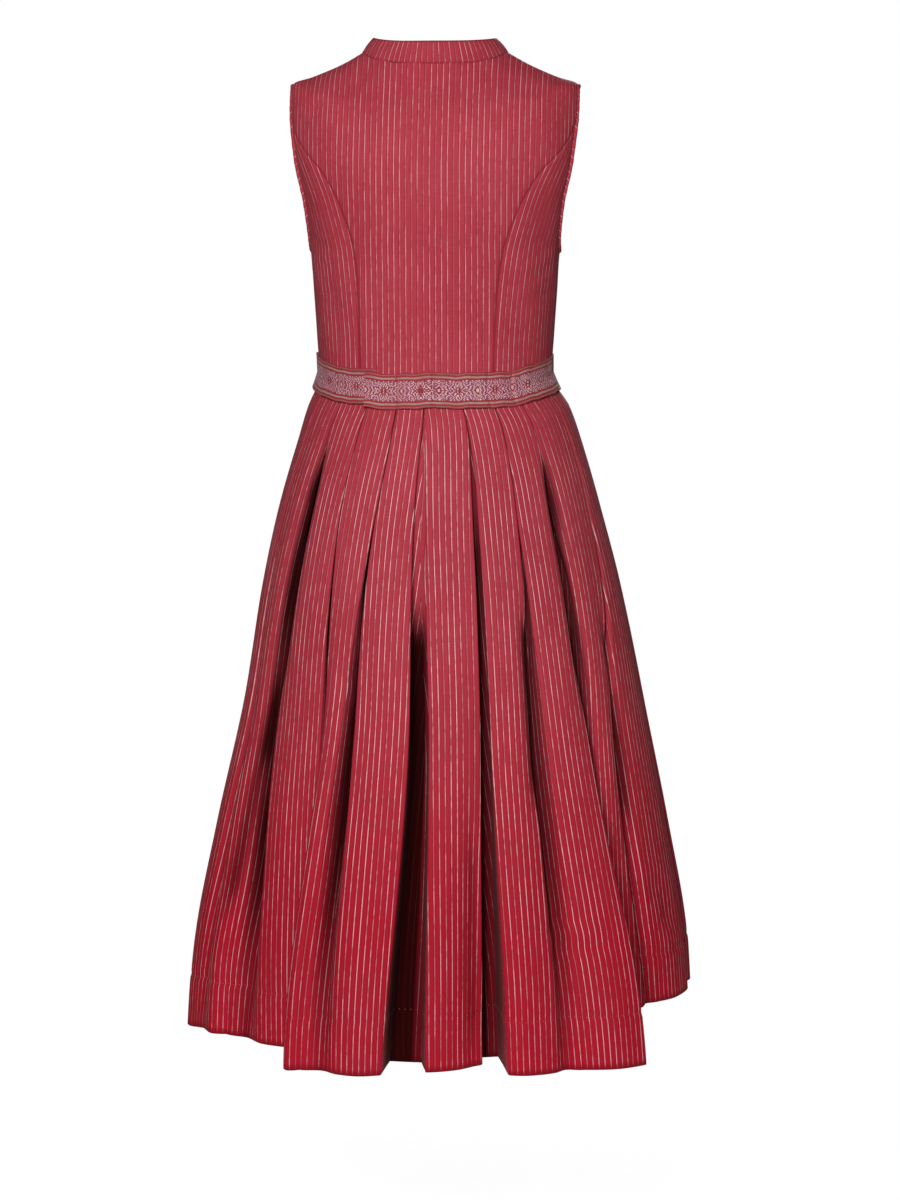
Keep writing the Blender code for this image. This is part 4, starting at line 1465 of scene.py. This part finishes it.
@dataclass
class Ribbon:
    """The woven ribbon round the waist, lapped over itself behind the left side."""

    shop: Workshop
    stitching: Stitching
    up: float = 0.0200
    down: float = 0.0175
    wall: float = 0.0008
    join: float = -31.0
    lap: float = 6.0
    girth: float = 0.74
    columns: int = 760
    cells: int = 37
    pinches: tuple[Triple, ...] = (
        (1.2, 0.0022, 0.7), (27, 0.0012, 0.7), (-15, 0.0015, 0.8), (41, 0.0012, 0.8),
    )

    def build(self) -> None:
        """Builds the ribbon, its colours and the stitches along its edges."""
        angles = np.linspace(self.join, self.join + 360 + self.lap, self.columns + 1)
        run_share = np.linspace(0, 1, self.columns + 1)
        heights = np.linspace(-self.down, self.up, self.cells + 1)
        ripple = self.ripple(angles)
        points = np.array([self.row(angles, height, ripple, run_share) for height in heights])
        run = lengths(points)
        run = np.broadcast_to(run[self.cells // 2], run.shape)
        across = np.broadcast_to(heights[:, None], run.shape)
        shell = Shell("waist_ribbon_cloth", points, cloth_places(run, across), self.wall)
        piece = shell.build(self.shop.finishes["woven ribbon"])
        self.weave(piece, float(run.max()))
        self.shop.hand_in(piece, "ribbon", ["waist_ribbon"])
        normals = grid_normals(points)
        lines = [points[i] + normals[i] * 0.0005 for i in (2, -3)]
        self.stitching.sew("ribbon_stitches", lines, "ribbon thread", "ribbon",
                           0.0042, 0.0021, 0.0004)

    @staticmethod
    def ripple(angles: np.ndarray) -> np.ndarray:
        """Slow uneven waves round the ribbon, from about -1 to 1."""
        turn = np.radians(angles)
        waves = ((7, 0.4, 0.5), (13, 1.9, 0.4), (23, 0.7, 0.35), (41, 2.6, 0.2))
        return sum(size * np.sin(count * turn + start) for count, start, size in waves)

    def row(self, angles: np.ndarray, height: float, ripple: np.ndarray,
            share: np.ndarray) -> np.ndarray:
        """The points of the ribbon at one height across it.

        Args:
            angles: degrees round.
            height: metres above the waist seam.
            ripple: the ribbon's waves.
            share: how far along the ribbon each point is.

        Returns:
            The points.
        """
        body, skirt = self.shop.body, self.shop.skirt
        length = share * self.girth
        ends = 1 - ease((self.girth - length) / 0.05), 1 - ease(length / 0.06)
        slip = 0.0024 * ends[0] - 0.0012 * ends[1]
        sway = height + slip + 0.0010 * ripple * (0.4 + abs(height) / self.up)
        rise = ring_points(BODICE_LEVELS[1], angles)[..., 2] - skirt.waist_height(angles)
        above = np.maximum(sway, 0.0) / rise
        up_points, up_normals = body.points(angles, above), body.normals(angles, above)
        down_points, down_normals = skirt.surface(angles, np.maximum(-sway, 0.0))
        over = (sway >= 0)[:, None]
        points = np.where(over, up_points, down_points)
        normals = np.where(over, up_normals, down_normals)
        out = np.interp(height, (-self.down, 0, self.up), (0.0038, 0.0030, 0.0018))
        lapped = 0.0012 * (1 - ease(share / 0.04)) - 0.0007 * ease((share - 0.97) / 0.02)
        pinch = sum(deep * bump(angles - at, wide) for at, deep, wide in self.pinches)
        wave = 0.0009 * ripple * (0.3 + abs(height) / self.up)
        return points + normals * (out + lapped + wave - pinch)[:, None]

    def weave(self, piece: bpy.types.Object, length: float) -> None:
        """Gives each face the colour of its thread in the chart.

        Args:
            piece: the ribbon.
            length: the ribbon's length in metres.
        """
        half = [line + line[-2:0:-1] for line in CHART]
        side = half + [letter * len(half[0]) for letter in BORDER[::-1]]
        whole = side[:0:-1] + side
        mesh = piece.data
        colours = np.zeros((len(mesh.loops), 4), np.float32)
        uv = np.zeros(len(mesh.loops) * 2, np.float32)
        mesh.uv_layers["cloth"].data.foreach_get("uv", uv)
        uv = uv.reshape(-1, 2)
        step = length / self.columns
        rng = np.random.default_rng(5)
        for face in mesh.polygons:
            loops = list(face.loop_indices)
            u, v = uv[loops].mean(axis=0)
            row = int((v + self.down) / (self.up + self.down) * len(whole))
            line = whole[min(max(row, 0), len(whole) - 1)]
            red, green, blue, _ = THREADS[line[int(u / step) % len(line)]]
            shade = 0.86 + 0.28 * rng.random()
            colours[loops] = (red * shade, green * shade, blue * shade, 1)
        made = mesh.color_attributes.new("woven", "FLOAT_COLOR", "CORNER")
        made.data.foreach_set("color", colours.reshape(-1))


@dataclass
class Skirt:
    """The pleated skirt, with its doubled hem."""

    shop: Workshop
    stitching: Stitching
    wall: float = 0.0012
    rings: int = 104
    hem_deep: float = 0.056
    hem_more: float = 0.0011
    edge_gap: float = 0.0022
    least_floor: float = 0.003
    waist_deep: float = 0.0075
    waist_under: float = 0.38
    edge_round: float = 0.0034
    least_round: float = 0.45
    crown: float = 0.005
    opened_by: float = 0.62
    # where the late fold's painted shade begins, as a share down the skirt
    late_shade_from: float = 0.30
    flare_from: float = 0.35
    flare_power: float = 1.3
    soft_from: float = 0.45
    soft_over: float = 0.45

    def __post_init__(self) -> None:
        """Works out every fold at every ring."""
        drop = np.linspace(0, 1, self.rings)
        self.hem_share = 1 - self.hem_deep / SKIRT_LENGTH
        close = 0.35 * bump(drop - self.hem_share, 0.05)
        step = 1 / (1 + close * 3)
        self.share = np.concatenate([[0], np.cumsum(step[1:])])
        self.share = (self.share / self.share[-1])[:, None]
        self.around = [self.turned(FOLDS[-1], -1), *FOLDS,
                       *(self.turned(fold, 1) for fold in FOLDS[:3])]
        self.measured = [self.fold_at(i) for i in range(1, len(self.around) - 1)]

    @staticmethod
    def turned(fold: Fold, turns: int) -> Fold:
        """The same fold, counted whole turns further round."""
        more = 360 * turns
        return fold._replace(waist=fold.waist + more, hip=fold.hip + more,
                             knee=fold.knee + more, hem=fold.hem + more)

    def stops(self, *values: float) -> np.ndarray:
        """A smooth line through values at waist, hip, knee and hem, at every ring."""
        return Line((0.0, 0.16, 0.58, 1.0), values).at(self.share[:, 0])

    def left_edge(self, fold: Fold) -> np.ndarray:
        """Degrees of a fold's left edge at every ring."""
        return self.stops(fold.waist, fold.hip, fold.knee, fold.hem)

    def fold_at(self, number: int) -> dict[str, np.ndarray]:
        """One fold's edges and depths at every ring.

        Args:
            number: its place in the folds round the skirt.

        Returns:
            Named sizes, each an array by ring.
        """
        fold = self.around[number]
        share = self.share[:, 0]
        left = self.left_edge(fold)
        metres = self.shop.skirt.metres(left, share)
        gap = self.stops(0, fold.gap_hip, fold.gap_knee, fold.gap_hem)
        gap = np.maximum(gap, self.edge_gap / metres)
        deep = self.stops(self.waist_deep, fold.deep_hip / 1000, fold.deep_knee / 1000,
                          fold.deep_hem / 1000)
        opened = ease(share / self.opened_by)
        flare = ease((share - self.flare_from) / (1 - self.flare_from)) ** self.flare_power
        least = self.least_floor / 2 - gap * metres / 2
        rooms = []
        for first, last in ((number - 1, number), (number, number + 1)):
            edges = [self.left_edge(self.around[i]) for i in (first, last)]
            width = self.shop.skirt.metres((edges[0] + edges[1]) / 2, share)
            rooms.append((edges[1] - edges[0]) * width)
        unders = [
            np.maximum(least, self.waist_under * room * (1 - opened) + under / 1000 * opened)
            for room, under in zip(rooms, (fold.under_left, fold.under_right))
        ]
        return {
            "left": left,
            "right": left + gap,
            "deep": deep,
            # The painted fold shade's strength down the skirt; the late fold's painted shade begins
            # lower down.
            "dark": ease((share - (self.late_shade_from if fold.name == LATE_FOLD else 0.0)) / 0.08),
            "under_left": unders[0],
            "under_right": unders[1],
            "out_left": fold.out_left / 1000 * flare,
            "out_right": fold.out_right / 1000 * flare,
            "soft": fold.soft * ease((share - self.soft_from) / self.soft_over),
        }

    def fold_side(self, here: dict[str, np.ndarray], right: bool) -> tuple[np.ndarray, np.ndarray]:
        """A fold's points on one side, from its middle out to the pleat's edge.

        Args:
            here: the fold's sizes.
            right: whether it is the fold's right side.

        Returns:
            Degrees and distances out, each by ring and point.
        """
        share = self.share[:, 0]
        edge = here["right"] if right else here["left"]
        out = here["out_right"] if right else here["out_left"]
        reach = here["under_right"] if right else -here["under_left"]
        middle = (here["left"] + here["right"]) / 2
        floor = np.minimum(here["out_left"], here["out_right"]) - here["deep"]
        bend = np.minimum(self.edge_round, here["deep"] * self.least_round)
        inner = edge + reach / self.shop.skirt.metres(edge, share)
        sharp_angle = np.stack([middle, inner, inner, edge, edge])
        sharp_out = np.stack([floor, floor, floor + bend, out - bend, out])
        at = np.array([0.0, 0.3, 0.55, 0.8, 1.0])
        steps = np.array([0.0, 0.17, 0.3, 0.5, 0.68, 0.84, 0.94, 1.0])
        angles, outs = [], []
        for step in steps:
            i = min(int(np.searchsorted(at, step, side="right")) - 1, 3)
            part = (step - at[i]) / (at[i + 1] - at[i])
            angle = sharp_angle[i] + (sharp_angle[i + 1] - sharp_angle[i]) * part
            depth = sharp_out[i] + (sharp_out[i + 1] - sharp_out[i]) * part
            soft_angle = middle + (edge - middle) * step
            soft_out = floor + (out - floor) * (1 - math.cos(math.pi * step)) / 2
            angles.append(angle + (soft_angle - angle) * here["soft"])
            outs.append(depth + (soft_out - depth) * here["soft"])
        return np.array(angles).T, np.array(outs).T

    def shade_below(self, fold: dict[str, np.ndarray], outs: np.ndarray,
                    most: float) -> np.ndarray:
        """How far each point lies in its fold's shadow, from 0 to 1.

        Args:
            fold: the fold's sizes.
            outs: distances out on one side of it, from its middle to the pleat's edge.
            most: the shadow's strength on that side.

        Returns:
            A share for each ring and point.
        """
        down = outs[:, -1:] - outs
        close = 1 - 0.55 * fold["soft"] * ease((0.03 - fold["deep"]) / 0.02)
        return most * (close * fold["dark"])[:, None] * ease((down - 0.0015) / 0.012)

    def section(self, number: int) -> tuple[np.ndarray, np.ndarray, int]:
        """One pleat, from the middle of the fold before it to the middle of the next.

        Args:
            number: the first fold's place among the measured ones.

        Returns:
            The points by ring and step, how much painted shade each takes in folds and crease
            troughs from 0 to 1, and the step that holds the pleat's middle.
        """
        here, there = self.measured[number], self.measured[number + 1]
        start = self.fold_side(here, True)
        end = self.fold_side(there, False)
        first, last = start[0][:, -1], end[0][:, -1]
        first_out, last_out = start[1][:, -1], end[1][:, -1]
        share = self.share[:, 0]
        rng = np.random.default_rng(40 + number)
        waves = rng.uniform(0, 2 * math.pi, 3)
        parts = (0.05, 0.18, 0.34, 0.5, 0.66, 0.82, 0.95)
        below = [self.shade_below(*side) for side in ((here, start[1], 0.72), (there, end[1], 1.0))]
        angles, outs = [], []
        for part in parts:
            angle = first + (last - first) * part
            out = first_out + (last_out - first_out) * part
            out = out + self.crown * ease(share) * 4 * part * (1 - part)
            buckle = np.sin(share * 9 + waves[0]) * np.sin(math.pi * part * 2 + waves[1])
            out = out + 0.0011 * buckle * ease(share) * math.sin(math.pi * part)
            angles.append(angle)
            outs.append(out)
        angles = np.concatenate([start[0], np.array(angles).T, end[0][:, ::-1]], axis=1)
        outs = np.concatenate([start[1], np.array(outs).T, end[1][:, ::-1]], axis=1)
        plain = np.zeros((self.rings, len(parts)))
        depth = np.concatenate([below[0], plain, below[1][:, ::-1]], axis=1)
        lift = self.wrinkles(angles)
        # Painted shade also darkens the crease troughs, the deeper the darker.
        depth = np.maximum(depth, 0.98 * ease((-lift - 0.0018) / 0.0052))
        outs = outs + lift
        points = self.shop.skirt.points(angles, outs, self.share)
        middle = start[0].shape[1] + len(parts) // 2
        both = rounded(np.concatenate([points, depth[..., None]], axis=-1))
        return both[..., :3], both[..., 3], 2 * middle

    def wrinkles(self, angles: np.ndarray) -> np.ndarray:
        """The skirt's small creases, by ring and point."""
        creases = (
            Crease((25, 0.795), (40, 0.765), 0.006, -0.0022),
            Crease((26, 0.812), (42, 0.790), 0.005, 0.0018),
            Crease((28, 0.832), (44, 0.815), 0.006, -0.0018),
            Crease((21, 0.850), (25, 0.880), 0.004, 0.0014),
            Crease((20, 0.880), (23, 0.850), 0.003, -0.0016),
            Crease((-28, 0.42), (-24, 0.48), 0.006, -0.0030),
            Crease((5, 0.50), (12, 0.485), 0.008, 0.0016),
            Crease((72, 0.78), (80, 0.90), 0.012, -0.0035),
            Crease((-58, 0.42), (-64, 0.90), 0.014, -0.0050),
            Crease((-54, 0.06), (-58, 0.62), 0.013, -0.0105),
            Crease((-51.5, 0.02), (-53.5, 0.50), 0.0075, -0.0075),
            Crease((49, 0.26), (52, 0.78), 0.009, -0.0058),
            Crease((49.5, 0.05), (48.5, 0.54), 0.009, -0.0120),
            Crease((30, 0.28), (28.5, 0.66), 0.009, -0.0085),
            Crease((10.5, 0.55), (11, 1.10), 0.008, -0.0042),
            Crease((62, 0.30), (66, 0.80), 0.008, -0.0055),
            Crease((150, 0.62), (163, 0.60), 0.007, -0.0020),
            Crease((205, 0.80), (216, 0.77), 0.006, 0.0018),
            Crease((110, 0.70), (118, 0.68), 0.007, -0.0018),
            Crease((240, 0.55), (248, 0.58), 0.008, -0.0018),
        )
        turned = np.mod(angles + 100, 360) - 100
        lift = crease_heights(creases, turned, self.share, SKIRT_DEGREE, SKIRT_LENGTH)
        past = self.share - self.hem_share
        lift = lift - 0.0007 * bump(past, 0.004) + 0.0005 * ease(past / 0.006)
        return lift

    def cloth_runs(self, runs: Sequence[np.ndarray],
                   middles: Sequence[np.ndarray]) -> tuple[list[float], list[np.ndarray]]:
        """Where each pleat's middle lies along the cloth, so that stripes run on over folds.

        Args:
            runs: each pleat's running length, by ring and point.
            middles: the running length at each pleat's middle, by ring.

        Returns:
            Metres to each pleat's middle at the hem, and by ring how much the cloth before it
            spreads where its fold opens to a valley.
        """
        after = [run[:, -1] - middle for run, middle in zip(runs, middles)]
        place = 0.0
        places, joins = [], []
        for i, fold in enumerate(self.measured[:len(FOLDS)]):
            total = after[i - 1] + middles[i]
            whole = float(total[-1])
            place += whole
            places.append(place)
            joins.append(1 + fold["soft"] * (whole - total) / total)
        return places, joins

    def build(self) -> None:
        """Builds the skirt's back and its two fronts."""
        spans = {
            "skirt_back": (0, RIGHT_SIDE),
            "skirt_front_right": (RIGHT_SIDE, CLOSING),
            "skirt_front_left": (CLOSING, len(FOLDS)),
        }
        sections = [self.section(i) for i in range(len(FOLDS))]
        runs = [lengths(section[0]) for section in sections]
        middles = [
            (run[:, section[2] - 1] + run[:, section[2]]) / 2
            for run, section in zip(runs, sections)
        ]
        places, joins = self.cloth_runs(runs, middles)
        rising = self.share[::-1]
        up = (1 - rising) * SKIRT_LENGTH
        stitch_lines = []
        for name, (first, last) in spans.items():
            grids, depths, left_u, right_u = [], [], [], []
            for i in range(first, last):
                points, depth, _ = sections[i]
                new = slice(0 if i == first else 1, None)
                grids.append(points[:, new])
                depths.append(depth[:, new])
                run = runs[i] - middles[i][:, None]
                scales = (joins[i][:, None], joins[(i + 1) % len(FOLDS)][:, None])
                u = places[i] + np.where(run < 0, run * scales[0], run * scales[1])
                left_u.append(u[:, :-1])
                right_u.append(u[:, 1:])
            points, depth, left, right = (
                np.concatenate(parts, axis=1)[::-1] for parts in (grids, depths, left_u, right_u)
            )
            cloth = np.stack([
                np.stack([us, np.broadcast_to(up, us.shape)], axis=-1) for us in (left, right)
            ])
            shell = Shell(name + "_cloth", points, cloth, self.wall)
            hem = self.hem_more * ease((rising - self.hem_share) / 0.004)
            shell.inner_more = np.broadcast_to(hem, points.shape[:2]).copy()
            # The mesh takes the painted shade of its folds' hollows and crease troughs.
            shell.depth = depth
            shell.edge = np.broadcast_to(0.95 * bump(up, 0.0016), points.shape[:2]).copy()
            piece = shell.build(self.shop.finishes["striped cloth"])
            self.shop.hand_in(piece, "cloth", [name])
            at = int(np.argmin(np.abs(rising[:, 0] - self.hem_share)))
            stitch_lines.append(points[at] + shell.normals[at] * (self.wall / 2 + 0.0001))
        self.stitching.sew("hem_stitches", stitch_lines, "hem thread", "cloth",
                           0.0065, 0.0013, 0.0005)


def rounded(points: np.ndarray) -> np.ndarray:
    """Each ring with its corners cut once, so that it turns softly. Its ends stay."""
    first = points[:, :-1] * 0.75 + points[:, 1:] * 0.25
    second = points[:, :-1] * 0.25 + points[:, 1:] * 0.75
    both = np.stack([first, second], axis=2).reshape(points.shape[0], -1, points.shape[2])
    both[:, 0], both[:, -1] = points[:, 0], points[:, -1]
    return both


@dataclass
class Studio:
    """The pale floor, the soft lights and the camera."""

    target: Triple = (0.0159, 0.0, -0.5665)
    distance: float = 4.0
    azimuth: float = 3.5
    elevation: float = 8.0
    lens: float = 108.0
    sensor: float = 36.0
    floor: float = -1.42
    floor_radius: float = 1.2
    floor_sides: int = 64

    def build(self) -> None:
        """Sets up the scene round the dress."""
        self.camera()
        self.backdrop()
        self.light("key", (-0.35, -4.1, 1.2), 1.0, 146, (1.0, 0.99, 0.98))
        self.light("fill", (1.7, -3.9, 0.3), 1.8, 16, (0.98, 0.99, 1.0))
        self.light("low", (0.0, -4.4, -0.9), 1.4, 12, (1.0, 1.0, 1.0))
        self.light("behind", (0.3, 4.6, 0.8), 1.6, 95, (1.0, 1.0, 1.0))

    def camera(self) -> None:
        """The camera, at the photograph's angle."""
        turn, rise = math.radians(self.azimuth), math.radians(self.elevation)
        back = Vector((math.sin(turn) * math.cos(rise), -math.cos(turn) * math.cos(rise),
                       math.sin(rise)))
        data = bpy.data.cameras.new("camera")
        data.lens, data.sensor_width = self.lens, self.sensor
        place = Vector(self.target) + back * self.distance
        bpy.context.scene.camera = self.aimed("camera", data, place, -back)

    @staticmethod
    def aimed(name: str, data: bpy.types.ID, place: Vector, way: Vector) -> bpy.types.Object:
        """A camera or light at its place, turned to look a given way."""
        made = placed(name, data)
        made.location = place
        made.rotation_mode = "QUATERNION"
        made.rotation_quaternion = way.to_track_quat("-Z", "Y")
        return made

    def light(self, name: str, place: Triple, size: float, power_w: float,
              colour: Triple) -> None:
        """A soft square light that faces the dress.

        Args:
            name: its name.
            place: where it stands.
            size: the length of its side.
            power_w: its power in watts.
            colour: its colour.
        """
        data = bpy.data.lights.new(name, "AREA")
        data.size, data.energy, data.color = size, power_w, colour
        self.aimed(name, data, Vector(place), Vector(self.target) - Vector(place))

    def backdrop(self) -> None:
        """The plain pale floor, and the pale air round it."""
        sides, radius = self.floor_sides, self.floor_radius
        turn = np.linspace(0, 2 * math.pi, sides, endpoint=False)
        ring = np.stack([radius * np.cos(turn), radius * np.sin(turn),
                         np.full(sides, self.floor)], axis=-1)
        mesh = bpy.data.meshes.new("floor")
        mesh.from_pydata(ring.tolist(), [], [list(range(sides))])
        material, graph, shader = blank_finish("pale floor")
        place = graph.node("ShaderNodeTexCoord").outputs["Object"]
        grain = graph.noise(place, 60.0, 4.0)
        over = graph.node("ShaderNodeVectorMath", {0: place, 1: (1, 1, 0)}, operation="MULTIPLY")
        away = graph.node("ShaderNodeVectorMath", {0: over.outputs[0]}, operation="LENGTH")
        graph.fill(shader, {
            "Base Color": graph.mix(grain, (0.92, 0.92, 0.92, 1), (0.95, 0.95, 0.95, 1)),
            "Alpha": graph.span(away.outputs[1], radius * 0.85, 0.3),
            "Roughness": 0.8, "Emission Color": (1, 1, 1, 1), "Emission Strength": 0.62,
        })
        mesh.materials.append(material)
        placed("floor", mesh)
        world = bpy.data.worlds.new("pale air")
        world.use_nodes = True
        graph = Graph(world.node_tree)
        air = world.node_tree.nodes["Background"]
        seen = graph.node("ShaderNodeLightPath").outputs["Is Camera Ray"]
        graph.fill(air, {"Color": (1, 1, 1, 1), "Strength": graph.math("MAXIMUM", seen, 0.09)})
        bpy.context.scene.world = world
        bpy.context.scene.view_settings.view_transform = "Standard"


def main() -> None:
    """Builds the dress and its studio."""
    logging.basicConfig(level=logging.INFO, format="%(name)s: %(message)s")
    shop = Workshop()
    shop.dress_up()
    stitching = Stitching(shop)
    Bodice(shop, stitching).build()
    Collar(shop, stitching).build()
    Closing(shop).build()
    Skirt(shop, stitching).build()
    Ribbon(shop, stitching).build()
    Studio().build()
    LOG.info("all pieces: %d triangles", shop.triangles)


if __name__ == "__main__":
    main()
